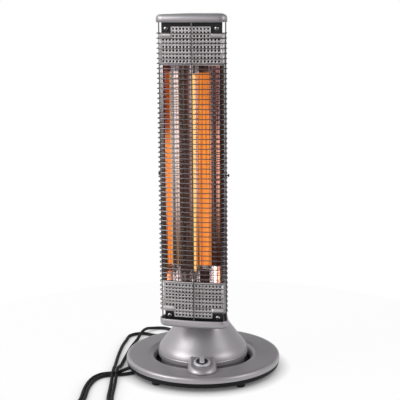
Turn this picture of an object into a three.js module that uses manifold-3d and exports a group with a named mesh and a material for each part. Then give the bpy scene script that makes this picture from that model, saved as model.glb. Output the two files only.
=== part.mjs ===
// Infrared patio heater tower: a carbon lamp in a polished reflector behind a wire guard,
// on a round pedestal that swings it from side to side. Millimetres, +Z up, front is -Y.
import * as THREE from 'three';
import { mergeVertices } from 'three/addons/utils/BufferGeometryUtils.js';
import Module from 'manifold-3d';

const wasm = await Module();
wasm.setup();

// ---------------------------------------------------------------- driving dimensions
const GAP = 0.3; // seat clearance between pieces that touch
const RAD = Math.PI / 180;

// base
const BASE_R = 165; // widest radius of the painted cover
const FOOT_H = 8.5; // ground clearance under the tray
const FOOT_R = 9;
const FOOT_RING_R = 148.5;
const FOOT_COUNT = 5;
const FOOT_FIRST_DEG = -59;
const TRAY_FLOOR = 2.5; // floor thickness of the tray
const TRAY_WALL_TOP = 18.7;
const COVER_TOP = 31.4; // height of the flat ring on top
const COVER_T = 1.6;
const WELL_R = 101.5; // opening of the cover round the pedestal
const BALLAST_T = 6;
const BALLAST_R_IN = 112;
const BALLAST_R_OUT = 154;

// pedestal
const LIP_R = 96.2; // widest radius of the dome
const LIP_BOTTOM = 28.3;
const SKIRT_R = 90;
const DOME_TOP = 112;
const DOME_T = 2.4;
const POD_X = -2.3; // knob pod
const POD_R = 30;
const POD_Y = -119;
const POD_FRONT_TOP = 42;
const POD_TILT_DEG = 10;
const POD_T = 2.2;

// knob
const KNOB_Y = -116;
const KNOB_R = 17.6;
const KNOB_H = 15.5;
const GRIP_W = 13;
const SHAFT_R = 3;
const SHAFT_CLEAR = 0.4;
const SHAFT_UP = 9; // shaft length above the pod

// swing bearing and drive
const PIVOT_R = 20; // outside radius of the swivel tube
const PIVOT_BORE_R = 17;
const PIVOT_CLEAR = 0.6;
const BUSH_T = 3.7;
const LEVER_Z = 54;
const LEVER_T = 3.6;
const CRANK_OFFSET = 44; // motor axis behind the pivot
const CRANK_R = 22; // throw of the crank pin
const CRANK_PIN_R = 2.5;
const SLOT_HALF_W = 7.6; // half width of the lever's slot
const MOTOR_R = 25;
const MOTOR_H = 19;
const YAW_DEG = -12.5; // tower's turn at rest
const SWING_RATIO = 4; // crank degrees per degree of the tower

// tower plan (front is -v)
const TOWER_BOTTOM = 115;
const TOWER_TOP = 752;
const CAP_BAND = 16; // height of each end cap's side wall
const FRONT_V = -104; // front of the caps
const REAR_V = 38;
const FRONT_BOW_R = 400;
const HALF_W = 71.5;
const CORNER_R = 16;
const REAR_CORNER_R = 22;
const REAR_CORNER_BACK = 24; // rear corner centre ahead of the rear face
const TAPER_DEG = 13.5;
const CAP_T = 3;
const HOUSING_INSET = 9.5;
const SHEET_T = 1.2;

// perforated plates
const PLATE_V = -92; // front face at the middle
const PLATE_BOW_R = 582;
const PLATE_HALF_W = 65.4;
const PLATE_T = 1;
const HOLE_PITCH = 7.03;
const HOLE_R = 2.1;
const HOLE_SIDES = 4;
const HOLE_COLUMNS = 17;
const HOLE_ROWS = 10;
const NOTCHED_ROWS = 3; // rows shortened beside the corner brackets
const NOTCHED_COLUMNS = 11;
const NOTCH_U = 40.2;
const NOTCH_H = 12.2;
const PLATE_MARGIN = 4.6; // cap-side edge to the first row of holes
const TOP_PLATE_TOP = 728.1;
const LOW_PLATE_BOTTOM = 135.3;
const PLATE_H = 75.4;

// lamp and reflector
const LAMP_V = -71;
const TUBE_R = 8.5;
const TUBE_WALL = 1.3;
const LAMP_CAP_R = 10.4;
const LAMP_CAP_DEPTH = 14;
const LAMP_CAP_L = 24;
const STRIP_W = 7.5;
const STRIP_T = 0.5;
const STRIP_TURN_DEG = -25; // about the lamp's axis
const SPRING_L = 17;
const SPRING_R = 3;
const SPRING_WIRE_R = 0.5;
const SPRING_TURNS = 4;
const REFLECTOR_T = 0.8;
// half of the trough's section as [u, v]: a shallow focusing back, a slope and a curved side
const TROUGH = [[0, -50.5], [8, -50.6], [16, -51.9], [24, -54.5], [33, -58.7],
  [45, -70.7], [51, -78.8], [56.3, -87]];

// guard
const WIRE_R = 1;
const STAY_R = 1.3;
const WIRE_COUNT = 58;
const FIRST_WIRE_Z = 151;
const WIRE_PITCH = 9.9;
const WIRE_INSET = 1.2; // wire centre inside the caps' outline
const WIRE_END_V = -70;
const STAY_U = 3.5; // middle stay, set beside the lamp
const SIDE_STAY_V = -79.5;

// side frames, brackets and screws
const FRAME_IN_U = 58;
const FRAME_OUT_U = 65.8;
const FRAME_FRONT_V = -84;
const FRAME_BACK_V = -69;
const BRACKET_V = -86;
const BRACKET_T = 1.5;
const BRACKET_HALF_W = 60.6;
const SCREW_U = 51;
const SIDE_SCREW_V = -75.4;
const SCREW_HEAD_R = 4.3;
const SCREW_HEAD_H = 2.4;

// mains cord
const CORD_R = 3.5;
const RELIEF_R = 4;
const RELIEF_L = 20; // length outside the tray's wall
const PLUG_FACE_R = 18.5;
const PLUG_L = 46;

// ---------------------------------------------------------------- derived heights
const TRAY_TOP = FOOT_H + TRAY_FLOOR;
const TOP_CAP_BOTTOM = TOWER_TOP - CAP_BAND + 0.5;
const LOW_CAP_TOP = TOWER_BOTTOM + CAP_BAND + 0.5;
const TOP_PLATE_BOTTOM = TOP_PLATE_TOP - PLATE_H;
const LOW_PLATE_TOP = LOW_PLATE_BOTTOM + PLATE_H;
const CAP_FLOOR = TOWER_BOTTOM + CAP_T;
const CAP_CEILING = TOWER_TOP - CAP_T;
const FRAME_TOP = TOP_PLATE_TOP - NOTCH_H;
const FRAME_BOTTOM = LOW_PLATE_BOTTOM + NOTCH_H - 1.4;
const LEVER_TOP = LEVER_Z + LEVER_T;

// ---------------------------------------------------------------- helpers
const heater = new THREE.Group();
const tower = new THREE.Group();
tower.rotation.z = YAW_DEG * RAD;
heater.add(tower);

const FINISH = {
  paint: { color: 0x8f8c92, roughness: 0.4, metalness: 0.55 },
  plate: { color: 0xb9b6b8, roughness: 0.4, metalness: 0.6 },
  mirror: { color: 0xd8d6d8, roughness: 0.08, metalness: 1 },
  wire: { color: 0x8a868c, roughness: 0.25, metalness: 1 },
  steel: { color: 0x9c9ca0, roughness: 0.35, metalness: 1 },
  black: { color: 0x151517, roughness: 0.5, metalness: 0 },
  rubber: { color: 0x1c1c1e, roughness: 0.8, metalness: 0 },
  glass: { color: 0xf2efe8, roughness: 0.05, metalness: 0 },
  carbon: { color: 0xff9a2e, roughness: 0.6, metalness: 0 },
  ceramic: { color: 0xe9e4da, roughness: 0.6, metalness: 0 },
  brass: { color: 0xb58f4a, roughness: 0.35, metalness: 1 },
};

function put(name, geometry, finish, parent = heater) {
  const mesh = new THREE.Mesh(geometry, new THREE.MeshStandardMaterial(FINISH[finish]));
  mesh.name = name;
  parent.add(mesh);
  return mesh;
}

function signedVolume(geometry) {
  const position = geometry.attributes.position;
  const index = geometry.index;
  const a = new THREE.Vector3();
  const b = new THREE.Vector3();
  const c = new THREE.Vector3();
  let sum = 0;
  for (let i = 0; i < index.count; i += 3) {
    a.fromBufferAttribute(position, index.getX(i));
    b.fromBufferAttribute(position, index.getX(i + 1));
    c.fromBufferAttribute(position, index.getX(i + 2));
    sum += a.dot(b.cross(c)) / 6;
  }
  return sum;
}

// merges shared corners and turns the faces outwards
function closed(geometry) {
  const bare = geometry.index ? geometry.toNonIndexed() : geometry;
  bare.deleteAttribute('normal');
  bare.deleteAttribute('uv');
  const merged = mergeVertices(bare, 1e-4);
  if (signedVolume(merged) < 0) {
    const index = merged.index.array;
    for (let i = 0; i < index.length; i += 3) {
      [index[i + 1], index[i + 2]] = [index[i + 2], index[i + 1]];
    }
  }
  return merged;
}

function solid(geometry) {
  const merged = closed(geometry);
  const triVerts = Uint32Array.from(merged.index.array);
  const vertProperties = Float32Array.from(merged.attributes.position.array);
  return new wasm.Manifold(new wasm.Mesh({ numProp: 3, vertProperties, triVerts }));
}

function shape(manifold) {
  const mesh = manifold.getMesh();
  const geometry = new THREE.BufferGeometry();
  geometry.setAttribute('position', new THREE.BufferAttribute(mesh.vertProperties, 3));
  geometry.setIndex(new THREE.BufferAttribute(mesh.triVerts, 1));
  return geometry;
}

// profile of [radius, height] pairs, turned about Z
function turned(profile, segments = 48) {
  const points = profile.map(([r, z]) => new THREE.Vector2(r, z));
  return new THREE.LatheGeometry(points, segments).rotateX(Math.PI / 2);
}

// a closed ring profile, turned about Z
function ring(profile, segments = 48) {
  return turned([...profile, profile[0]], segments);
}

function pipe(rOut, rIn, z0, z1, segments = 32) {
  return ring([[rOut, z0], [rOut, z1], [rIn, z1], [rIn, z0]], segments);
}

function disc(r, z0, z1, segments = 32) {
  return turned([[0, z0], [r, z0], [r, z1], [0, z1]], segments);
}

function box(x0, x1, y0, y1, z0, z1) {
  const block = new THREE.BoxGeometry(x1 - x0, y1 - y0, z1 - z0);
  return block.translate((x0 + x1) / 2, (y0 + y1) / 2, (z0 + z1) / 2);
}

// an outline of [x, y] pairs, raised from z0 to z1
function raised(outline, z0, z1, holes = []) {
  const face = new THREE.Shape(outline.map(([x, y]) => new THREE.Vector2(x, y)));
  face.holes = holes.map((hole) => new THREE.Path(hole.map(([x, y]) => new THREE.Vector2(x, y))));
  const geometry = new THREE.ExtrudeGeometry(face, { depth: z1 - z0, bevelEnabled: false });
  return geometry.translate(0, 0, z0);
}

function circle(x, y, r, sides, startDeg = 0) {
  return Array.from({ length: sides }, (_, k) => {
    const angle = (startDeg + (k * 360) / sides) * RAD;
    return [x + r * Math.cos(angle), y + r * Math.sin(angle)];
  });
}

// a round wire along a curve
function wire(curve, radius, sides, steps) {
  const section = new THREE.Shape(circle(0, 0, radius, sides, 180 / sides)
    .map(([x, y]) => new THREE.Vector2(x, y)));
  return new THREE.ExtrudeGeometry(section, { steps, bevelEnabled: false, extrudePath: curve });
}

// a curve through the points, stepped from point to point
function smooth(points) {
  const curve = new THREE.CatmullRomCurve3(points.map(([x, y, z]) => new THREE.Vector3(x, y, z)));
  curve.getUtoTmapping = (u) => u;
  return curve;
}

// points along a chain of tangent arcs, each { x, y, r, from, to, n }, drawn in by inset
function arcChain(arcs, inset) {
  const points = [];
  for (const arc of arcs) {
    for (let k = 0; k <= arc.n; k += 1) {
      const angle = (arc.from + ((arc.to - arc.from) * k) / arc.n) * RAD;
      const x = arc.x + (arc.r - inset) * Math.cos(angle);
      const y = arc.y + (arc.r - inset) * Math.sin(angle);
      const last = points[points.length - 1];
      if (!last || Math.hypot(last[0] - x, last[1] - y) > 1e-6) {
        points.push([x, y]);
      }
    }
  }
  const [first, last] = [points[0], points[points.length - 1]];
  if (Math.hypot(last[0] - first[0], last[1] - first[1]) < 1e-6) {
    points.pop();
  }
  return points;
}

// a closed body through rows of one outline: rows are { inset, z, tilt }
function lofted(arcs, rows, tiltFrom = 0) {
  const corners = [];
  const rings = rows.map(({ inset, z, tilt = 0 }) => arcChain(arcs, inset)
    .map(([x, y]) => [x, y, z + tilt * (y - tiltFrom)]));
  const count = rings[0].length;
  const triangle = (a, b, c) => corners.push(...a, ...b, ...c);
  const middle = (points) => [0, 1, 2].map((axis) => (
    points.reduce((sum, point) => sum + point[axis], 0) / count));
  for (let k = 0; k < count; k += 1) {
    const next = (k + 1) % count;
    for (let row = 0; row + 1 < rings.length; row += 1) {
      const [low, high] = [rings[row], rings[row + 1]];
      triangle(low[k], low[next], high[next]);
      triangle(low[k], high[next], high[k]);
    }
    const [bottom, top] = [rings[0], rings[rings.length - 1]];
    triangle(middle(bottom), bottom[next], bottom[k]);
    triangle(middle(top), top[k], top[next]);
  }
  const geometry = new THREE.BufferGeometry();
  geometry.setAttribute('position', new THREE.Float32BufferAttribute(corners, 3));
  return geometry;
}

// a sheet strip: the outline on both sides of a line of [x, y] points
function strip(points, thickness) {
  const offset = points.map(([x, y], k) => {
    const before = points[Math.max(k - 1, 0)];
    const after = points[Math.min(k + 1, points.length - 1)];
    const along = new THREE.Vector2(after[0] - before[0], after[1] - before[1]).normalize();
    return [x - along.y * thickness, y + along.x * thickness];
  });
  return [...points, ...offset.reverse()];
}

function mirrored(points) {
  return points.map(([x, y]) => [-x, y]).reverse();
}

// ---------------------------------------------------------------- base
function baseCover() {
  const t = COVER_T;
  const top = COVER_TOP;
  const outer = [
    [BASE_R, TRAY_WALL_TOP + GAP], [BASE_R - 0.2, 24], [BASE_R - 1.8, 29],
    [BASE_R - 5, top - 0.3], [BASE_R - 9, top], [118, top + 1], [111.5, top - 0.4],
    [WELL_R + 4.5, top - 4.4], [WELL_R + 1, top - 10], [WELL_R, TRAY_TOP + 5],
  ];
  const inner = [
    [WELL_R + t, TRAY_TOP + 5], [WELL_R + t + 5.2, top - 4.8], [118.2, top + 1 - t],
    [BASE_R - 7, top - t], [BASE_R - t - 0.5, 26], [BASE_R - t, TRAY_WALL_TOP + GAP],
  ];
  const shell = solid(ring([...outer, ...inner], 38));
  const switchWell = solid(disc(17, 20, 40, 20).translate(POD_X, KNOB_Y + 2, 0));
  return shape(shell.subtract(switchWell));
}

function baseTray() {
  const z0 = FOOT_H;
  const rim = BASE_R - 0.8;
  const profile = [
    [0, z0], [rim - 4, z0], [rim - 0.8, z0 + 3], [rim, TRAY_WALL_TOP],
    [rim - 3.2, TRAY_WALL_TOP], [rim - 3.6, TRAY_TOP], [0, TRAY_TOP],
  ];
  const dish = solid(turned(profile, 38));
  const plungerHole = solid(disc(PLUNGER.r + SHAFT_CLEAR, 0, 20, 16).translate(PLUNGER.x, PLUNGER.y, 0));
  const slotR = RELIEF_R + GAP;
  const cordSlot = solid(box(-14, 12, -slotR, slotR, 9, 30)
    .rotateZ(RELIEF.yaw).translate(RELIEF.x, RELIEF.y, 0));
  return shape(dish.subtract(plungerHole).subtract(cordSlot));
}

function ballastPlate() {
  const z0 = TRAY_TOP + GAP;
  const plate = solid(pipe(BALLAST_R_OUT, BALLAST_R_IN, z0, z0 + BALLAST_T, 32));
  const knobNotch = solid(box(POD_X - 22, POD_X + 22, -135, -100, 5, 25));
  const cordNotch = solid(box(-20, 20, -12, 12, 5, 25)
    .rotateZ(RELIEF.yaw).translate(RELIEF.x + 17, RELIEF.y - 2, 0));
  return shape(plate.subtract(knobNotch).subtract(cordNotch));
}

function foot(k) {
  const angle = (FOOT_FIRST_DEG + (k * 360) / FOOT_COUNT) * RAD;
  const z1 = FOOT_H - GAP;
  const pad = turned([[0, 0], [FOOT_R - 1.5, 0], [FOOT_R, 1.5], [FOOT_R - 0.6, z1], [0, z1]], 16);
  return pad.translate(FOOT_RING_R * Math.cos(angle), FOOT_RING_R * Math.sin(angle), 0);
}

// ---------------------------------------------------------------- pedestal
const POD_TILT = Math.tan(POD_TILT_DEG * RAD);
const podFront = POD_Y - POD_R;
const podTopAt = (y) => POD_FRONT_TOP + POD_TILT * (y - (podFront + 9.5));

const podArcs = [
  { x: POD_X, y: POD_Y, r: POD_R, from: 180, to: 360, n: 12 },
  { x: POD_X + POD_R - 13, y: -74, r: 13, from: 0, to: 90, n: 1 },
  { x: POD_X - POD_R + 13, y: -74, r: 13, from: 90, to: 180, n: 1 },
];

function podBody(inset, drop) {
  const base = COVER_TOP + 1.4 - drop * 8;
  const front = podFront;
  const top = podTopAt(front) - drop * POD_T;
  return lofted(podArcs, [
    { inset, z: base },
    { inset: inset + 0.8, z: 36 - drop * POD_T },
    { inset: inset + 3.4, z: top - 3.4, tilt: POD_TILT * 0.5 },
    { inset: inset + 6.4, z: top - 0.9, tilt: POD_TILT },
    { inset: inset + 9.2, z: top, tilt: POD_TILT },
  ], front);
}

function pedestalDome() {
  const boreR = PIVOT_R + PIVOT_CLEAR + BUSH_T + GAP;
  const t = DOME_T;
  const flank = [
    [LIP_R - 1.4, 43], [92.6, 49.4], [83, 62.8], [58.5, 95.5], [54, 103], [51.3, 108.4], [47.5, 111.2],
  ];
  const inside = flank.filter((_, k) => k !== 1 && k !== 4 && k !== 6).map(([r, z]) => [r - t, z - t * 0.55]);
  const outer = [
    [SKIRT_R, TRAY_TOP + GAP], [SKIRT_R, LIP_BOTTOM - 0.8], [LIP_R - 0.8, LIP_BOTTOM],
    [LIP_R, 37.4], [LIP_R - 0.6, 39], ...flank, [43, DOME_TOP], [boreR, DOME_TOP],
  ];
  const inner = [
    [boreR, DOME_TOP - t], [46, DOME_TOP - t], ...inside.reverse(),
    [LIP_R - t - 1, LIP_BOTTOM + t], [SKIRT_R - t, LIP_BOTTOM + t - 0.8], [SKIRT_R - t, TRAY_TOP + GAP],
  ];
  const shell = solid(ring([...outer, ...inner], 34));
  const hollow = solid(turned([[0, TRAY_TOP], [SKIRT_R - t, TRAY_TOP], ...[...inner].reverse().slice(1),
    [0, DOME_TOP - t]], 34));
  const pod = solid(podBody(0, 0));
  const podHollow = solid(podBody(POD_T, 1));
  const shaftHole = solid(disc(SHAFT_R + 1, 10, 70, 16).translate(POD_X, 0, 0)
    .rotateX(POD_TILT_DEG * RAD).translate(0, KNOB_Y + 8, 0));
  return shape(shell.add(pod.subtract(hollow)).subtract(podHollow).subtract(shaftHole));
}

function swivelBush() {
  const bore = PIVOT_R + PIVOT_CLEAR;
  const z1 = TOWER_BOTTOM - GAP;
  return ring([[bore + BUSH_T, 106], [bore + BUSH_T, DOME_TOP + GAP], [bore + 12, DOME_TOP + GAP],
    [bore + 12, z1], [bore, z1], [bore, 106]], 24);
}

// ---------------------------------------------------------------- knob and its switch
const knobFrame = new THREE.Group();
knobFrame.position.set(POD_X, KNOB_Y, podTopAt(KNOB_Y));
knobFrame.rotation.x = POD_TILT_DEG * RAD;
heater.add(knobFrame);

function selectorKnob() {
  const skirt = turned([[0, GAP], [KNOB_R - 0.8, GAP], [KNOB_R, 1.4], [KNOB_R - 0.6, 3.4],
    [KNOB_R - 3.4, 4.6], [0, 5]], 24);
  const reach = KNOB_R - 1.6;
  const grip = lofted([
    { x: 0, y: reach - 5, r: 6.2, from: 20, to: 160, n: 4 },
    { x: 0, y: -(reach - 5), r: 6.2, from: 200, to: 340, n: 4 },
  ], [
    { inset: -0.6, z: 3 },
    { inset: -0.1, z: 7 },
    { inset: 0.8, z: KNOB_H - 1.2 },
    { inset: 2, z: KNOB_H },
  ]);
  const width = solid(box(-GRIP_W / 2, GRIP_W / 2, -30, 30, 0, 30));
  const bore = solid(disc(SHAFT_R + SHAFT_CLEAR, -1, SHAFT_UP + GAP, 16));
  return shape(solid(skirt).add(solid(grip).intersect(width)).subtract(bore));
}

function rotarySwitch() {
  const depth = POD_T + 0.5; // pod's wall and the gap under it
  const body = solid(disc(12.5, -depth - 13, -depth, 20));
  const shaft = solid(disc(SHAFT_R, -depth - 1, SHAFT_UP, 16));
  const flat = solid(box(-10, 10, SHAFT_R - 1, 10, 1, 20));
  return shape(body.add(shaft.subtract(flat)));
}

// ---------------------------------------------------------------- swing drive
function swivelTube() {
  const flange = CAP_FLOOR + GAP;
  const flangeR = REAR_V - HOUSING_INSET - 2.5; // reaches to just inside the rear housing
  return ring([[PIVOT_R, LEVER_TOP + GAP], [PIVOT_R, flange], [flangeR, flange],
    [flangeR, flange + 2.4], [PIVOT_BORE_R, flange + 2.4], [PIVOT_BORE_R, LEVER_TOP + GAP]], 24);
}

function retainingRing() {
  return pipe(PIVOT_R + 9, PIVOT_R + GAP, 106 - 2.8, 106 - 0.5, 24);
}

function swingLever() {
  const tip = CRANK_OFFSET + CRANK_R + CRANK_PIN_R + 8;
  const arm = [[-13, 0], [13, 0], [13, tip - 5], [8, tip], [-8, tip], [-13, tip - 5]];
  const blade = solid(raised(arm, LEVER_Z, LEVER_TOP)).add(solid(disc(26, LEVER_Z, LEVER_TOP, 32)));
  const near = CRANK_OFFSET - CRANK_R - CRANK_PIN_R - 1;
  const slot = solid(box(-SLOT_HALF_W, SLOT_HALF_W, near, tip - 5, 0, 100));
  return shape(blade.subtract(slot).subtract(solid(disc(13, 0, 100, 24))));
}

function crankArm() {
  const z0 = LEVER_Z - 6.5;
  const arm = arcChain([
    { x: 0, y: 0, r: 8, from: 180, to: 360, n: 8 },
    { x: 0, y: CRANK_R, r: 6, from: 0, to: 180, n: 8 },
  ], 0);
  const pin = disc(CRANK_PIN_R, z0 + 1, LEVER_TOP - GAP, 16).translate(0, CRANK_R, 0);
  return shape(solid(raised(arm, z0, z0 + 4)).add(solid(pin)));
}

function gearMotor() {
  const top = LEVER_Z - 6.5 - GAP;
  const body = top - 3;
  return turned([[0, body - MOTOR_H], [MOTOR_R, body - MOTOR_H], [MOTOR_R, body - 0.8],
    [MOTOR_R - 0.8, body], [3, body], [3, top], [0, top]], 24);
}

function motorBracket() {
  const top = LEVER_Z - 6.5 - 3 - MOTOR_H - 2 * GAP;
  const z0 = TRAY_TOP + GAP;
  const profile = [[-34, z0], [-22, z0], [-22, z0 + 2], [-32, z0 + 2], [-32, top - 2], [32, top - 2],
    [32, z0 + 2], [22, z0 + 2], [22, z0], [34, z0], [34, top], [-34, top]];
  return raised(profile, -16, 16).rotateX(Math.PI / 2).translate(0, CRANK_OFFSET, 0);
}

// ---------------------------------------------------------------- tip-over switch
const PLUNGER = { x: -45, y: -20, r: 3, travel: 6, top: 24 };

function tipPlunger() {
  const { r, travel, top } = PLUNGER;
  const collar = TRAY_TOP + GAP + travel;
  return turned([[0, 0], [r - 0.6, 0], [r, 0.6], [r, collar], [r + 2.4, collar], [r + 2.4, collar + 2],
    [r, collar + 2], [r, top], [0, top]], 12).translate(PLUNGER.x, PLUNGER.y, 0);
}

function tipSwitch() {
  const z0 = TRAY_TOP + GAP;
  const under = PLUNGER.top + GAP;
  const side = [[8, z0], [20, z0], [20, under + 15], [-9, under + 15], [-9, under], [8, under]];
  return raised(side, -5, 5).rotateX(Math.PI / 2).translate(PLUNGER.x, PLUNGER.y, 0);
}

function terminalBlock() {
  const z0 = TRAY_TOP + GAP;
  const body = solid(box(-17, 17, -8, 8, z0, z0 + 15));
  const ports = [-11, 0, 11].map((x) => solid(box(x - 3, x + 3, -9, 9, z0 + 3, z0 + 9)));
  return shape(ports.reduce((block, port) => block.subtract(port), body)
    .rotate([0, 0, 60]).translate([-60, 25, 0]));
}

// ---------------------------------------------------------------- tower outline
const frontCornerU = HALF_W - CORNER_R;
const bowY = FRONT_V + FRONT_BOW_R;
const frontCornerV = bowY - Math.sqrt((FRONT_BOW_R - CORNER_R) ** 2 - frontCornerU ** 2);
const bowHalf = Math.asin(frontCornerU / (FRONT_BOW_R - CORNER_R)) / RAD;
const taper = TAPER_DEG * RAD;
const rearCornerV = REAR_V - REAR_CORNER_BACK;
const sideReach = frontCornerU * Math.cos(taper) + frontCornerV * Math.sin(taper) + CORNER_R;
const rearCornerU = (sideReach - REAR_CORNER_R - rearCornerV * Math.sin(taper)) / Math.cos(taper);
const rearBowR = (rearCornerU ** 2 + REAR_CORNER_BACK ** 2 - REAR_CORNER_R ** 2)
  / (2 * (REAR_CORNER_BACK - REAR_CORNER_R));
const rearHalf = Math.asin(rearCornerU / (rearBowR - REAR_CORNER_R)) / RAD;

const towerArcs = [
  { x: 0, y: bowY, r: FRONT_BOW_R, from: -90 - bowHalf, to: -90 + bowHalf, n: 6 },
  { x: frontCornerU, y: frontCornerV, r: CORNER_R, from: -90 + bowHalf, to: TAPER_DEG, n: 4 },
  { x: rearCornerU, y: rearCornerV, r: REAR_CORNER_R, from: TAPER_DEG, to: 90 - rearHalf, n: 3 },
  { x: 0, y: REAR_V - rearBowR, r: rearBowR, from: 90 - rearHalf, to: 90 + rearHalf, n: 2 },
  { x: -rearCornerU, y: rearCornerV, r: REAR_CORNER_R, from: 90 + rearHalf, to: 180 - TAPER_DEG, n: 3 },
  { x: -frontCornerU, y: frontCornerV, r: CORNER_R, from: 180 - TAPER_DEG, to: 270 - bowHalf, n: 4 },
];

// half width of the tapered side at depth v, drawn in by inset
function sideU(v, inset) {
  return (sideReach - inset - v * Math.sin(taper)) / Math.cos(taper);
}

function topCap() {
  const z = TOWER_TOP;
  return lofted(towerArcs, [
    { inset: 14, z: CAP_CEILING }, { inset: 6, z: CAP_CEILING }, { inset: CAP_T, z: CAP_CEILING - 2.5 },
    { inset: CAP_T, z: TOP_CAP_BOTTOM }, { inset: 0, z: TOP_CAP_BOTTOM }, { inset: 0, z: z - 6.6 },
    { inset: 0.9, z: z - 3.8 }, { inset: 3.4, z: z - 1.7 }, { inset: 7.5, z: z - 0.5 }, { inset: 14, z },
  ]);
}

function bottomCap() {
  const z = TOWER_BOTTOM;
  const tub = solid(lofted(towerArcs, [
    { inset: 14, z: CAP_FLOOR }, { inset: 6, z: CAP_FLOOR }, { inset: CAP_T, z: CAP_FLOOR + 2.5 },
    { inset: CAP_T, z: LOW_CAP_TOP }, { inset: 0, z: LOW_CAP_TOP }, { inset: 0, z: z + 6.2 },
    { inset: 1.2, z: z + 2.8 }, { inset: 4, z: z + 0.8 }, { inset: 9, z },
  ]));
  return shape(tub.subtract(solid(disc(PIVOT_R + GAP, z - 5, z + 10, 32))));
}

function rearHousing() {
  const outer = arcChain(towerArcs, HOUSING_INSET);
  const inner = arcChain(towerArcs, HOUSING_INSET + SHEET_T);
  const tube = solid(raised(outer, CAP_FLOOR + GAP, CAP_CEILING - GAP, [inner]));
  const open = solid(box(-100, 100, -150, -80, 0, 1000));
  let shell = tube.subtract(open);
  for (const start of [TOWER_BOTTOM + 45, TOWER_TOP - 105]) {
    for (let k = 0; k < 7; k += 1) {
      const z = start + k * 9;
      shell = shell.subtract(solid(box(-19, 19, 10, 60, z, z + 3.6)));
    }
  }
  return shape(shell);
}

// ---------------------------------------------------------------- perforated plates
const plateBackAt = (u) => PLATE_V + PLATE_BOW_R * (1 - Math.cos(u / PLATE_BOW_R)) + PLATE_T;

// flat plate in (u, h), cap-side edge at h = 0 and lamp-side edge at h = PLATE_H, then bowed
function perforatedPlate(capEdgeZ, towardsLamp) {
  const half = PLATE_HALF_W;
  const columnU = (k, count) => (k - (count - 1) / 2) * HOLE_PITCH;
  const across = (from, to) => Array.from({ length: HOLE_COLUMNS }, (_, k) => columnU(k, HOLE_COLUMNS))
    .filter((u) => u > from + 1 && u < to - 1);
  const edge = [
    ...[-NOTCH_U, ...across(-NOTCH_U, NOTCH_U), NOTCH_U].map((u) => [u, 0]),
    ...[NOTCH_U, ...across(NOTCH_U, half), half].map((u) => [u, NOTCH_H]),
    ...[half, ...across(-half, half).reverse(), -half].map((u) => [u, PLATE_H]),
    ...[-half, ...across(-half, -NOTCH_U), -NOTCH_U].map((u) => [u, NOTCH_H]),
  ];
  const holes = [];
  for (let row = 0; row < HOLE_ROWS; row += 1) {
    const count = row < NOTCHED_ROWS ? NOTCHED_COLUMNS : HOLE_COLUMNS;
    for (let k = 0; k < count; k += 1) {
      holes.push(circle(columnU(k, count), PLATE_MARGIN + row * HOLE_PITCH, HOLE_R, HOLE_SIDES));
    }
  }
  const flat = closed(raised(edge, 0, PLATE_T, holes));
  const position = flat.attributes.position;
  for (let k = 0; k < position.count; k += 1) {
    const [u, h, depth] = [position.getX(k), position.getY(k), position.getZ(k)];
    const angle = u / PLATE_BOW_R;
    const r = PLATE_BOW_R - depth;
    position.setXYZ(k, r * Math.sin(angle), PLATE_V + PLATE_BOW_R - r * Math.cos(angle),
      capEdgeZ + towardsLamp * h);
  }
  return closed(flat);
}

// ---------------------------------------------------------------- reflector and lamp
// the whole section from right to left, drawn in by a little where an end sheet fits inside it
function troughLine(shrink) {
  const lip = TROUGH[TROUGH.length - 1][0];
  const half = TROUGH.map(([u, v]) => [u * (1 - shrink / lip), v - (u < lip ? shrink : -shrink)]);
  return [...half.slice(1).reverse(), ...half.map(([u, v]) => [-u, v])];
}

function reflector() {
  return raised(strip(troughLine(0), -REFLECTOR_T), LOW_PLATE_TOP - 1, TOP_PLATE_BOTTOM + 1);
}

function chamberEnd(z0) {
  const lampHole = circle(0, LAMP_V, LAMP_CAP_R + GAP, 20);
  return raised(troughLine(0.5), z0, z0 + 1, [lampHole]);
}

function quartzTube() {
  return pipe(TUBE_R, TUBE_R - TUBE_WALL, LAMP.tubeLow, LAMP.tubeHigh, 18).translate(0, LAMP_V, 0);
}

const LAMP = {
  low: LOW_PLATE_TOP - 8, // outer ends of the lamp's caps
  high: TOP_PLATE_BOTTOM + 8,
};
LAMP.tubeLow = LAMP.low + LAMP_CAP_L - LAMP_CAP_DEPTH + GAP;
LAMP.tubeHigh = LAMP.high - LAMP_CAP_L + LAMP_CAP_DEPTH - GAP;

// a ribbed end cap, mouth towards +Z from z = 0
function lampCap() {
  const bore = TUBE_R + GAP;
  const mouth = LAMP_CAP_L;
  return turned([[0, 0], [LAMP_CAP_R - 2.4, 0], [LAMP_CAP_R, 2.4],
    [LAMP_CAP_R, 12], [LAMP_CAP_R - 0.9, 13.5], [LAMP_CAP_R, 15],
    [LAMP_CAP_R, mouth], [bore, mouth],
    [bore, mouth - LAMP_CAP_DEPTH], [0, mouth - LAMP_CAP_DEPTH]], 16);
}

class Helix extends THREE.Curve {
  constructor(radius, length, turns) {
    super();
    Object.assign(this, { radius, length, turns });
  }

  getPoint(t, target = new THREE.Vector3()) {
    const angle = t * this.turns * 2 * Math.PI;
    return target.set(this.radius * Math.cos(angle), this.radius * Math.sin(angle), t * this.length);
  }
}

function filamentSpring() {
  const coil = SPRING_L - 2 * GAP - 2 * SPRING_WIRE_R;
  const steps = SPRING_TURNS * 8;
  return wire(new Helix(SPRING_R, coil, SPRING_TURNS), SPRING_WIRE_R, 5, steps);
}

// ---------------------------------------------------------------- guard
function guardWirePath() {
  const arcs = [towerArcs[5], towerArcs[0], towerArcs[1]].map((arc) => ({ ...arc, n: 2 }));
  const end = sideU(WIRE_END_V, WIRE_INSET);
  return [[-end, WIRE_END_V], ...arcChain(arcs, WIRE_INSET), [end, WIRE_END_V]];
}

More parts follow.
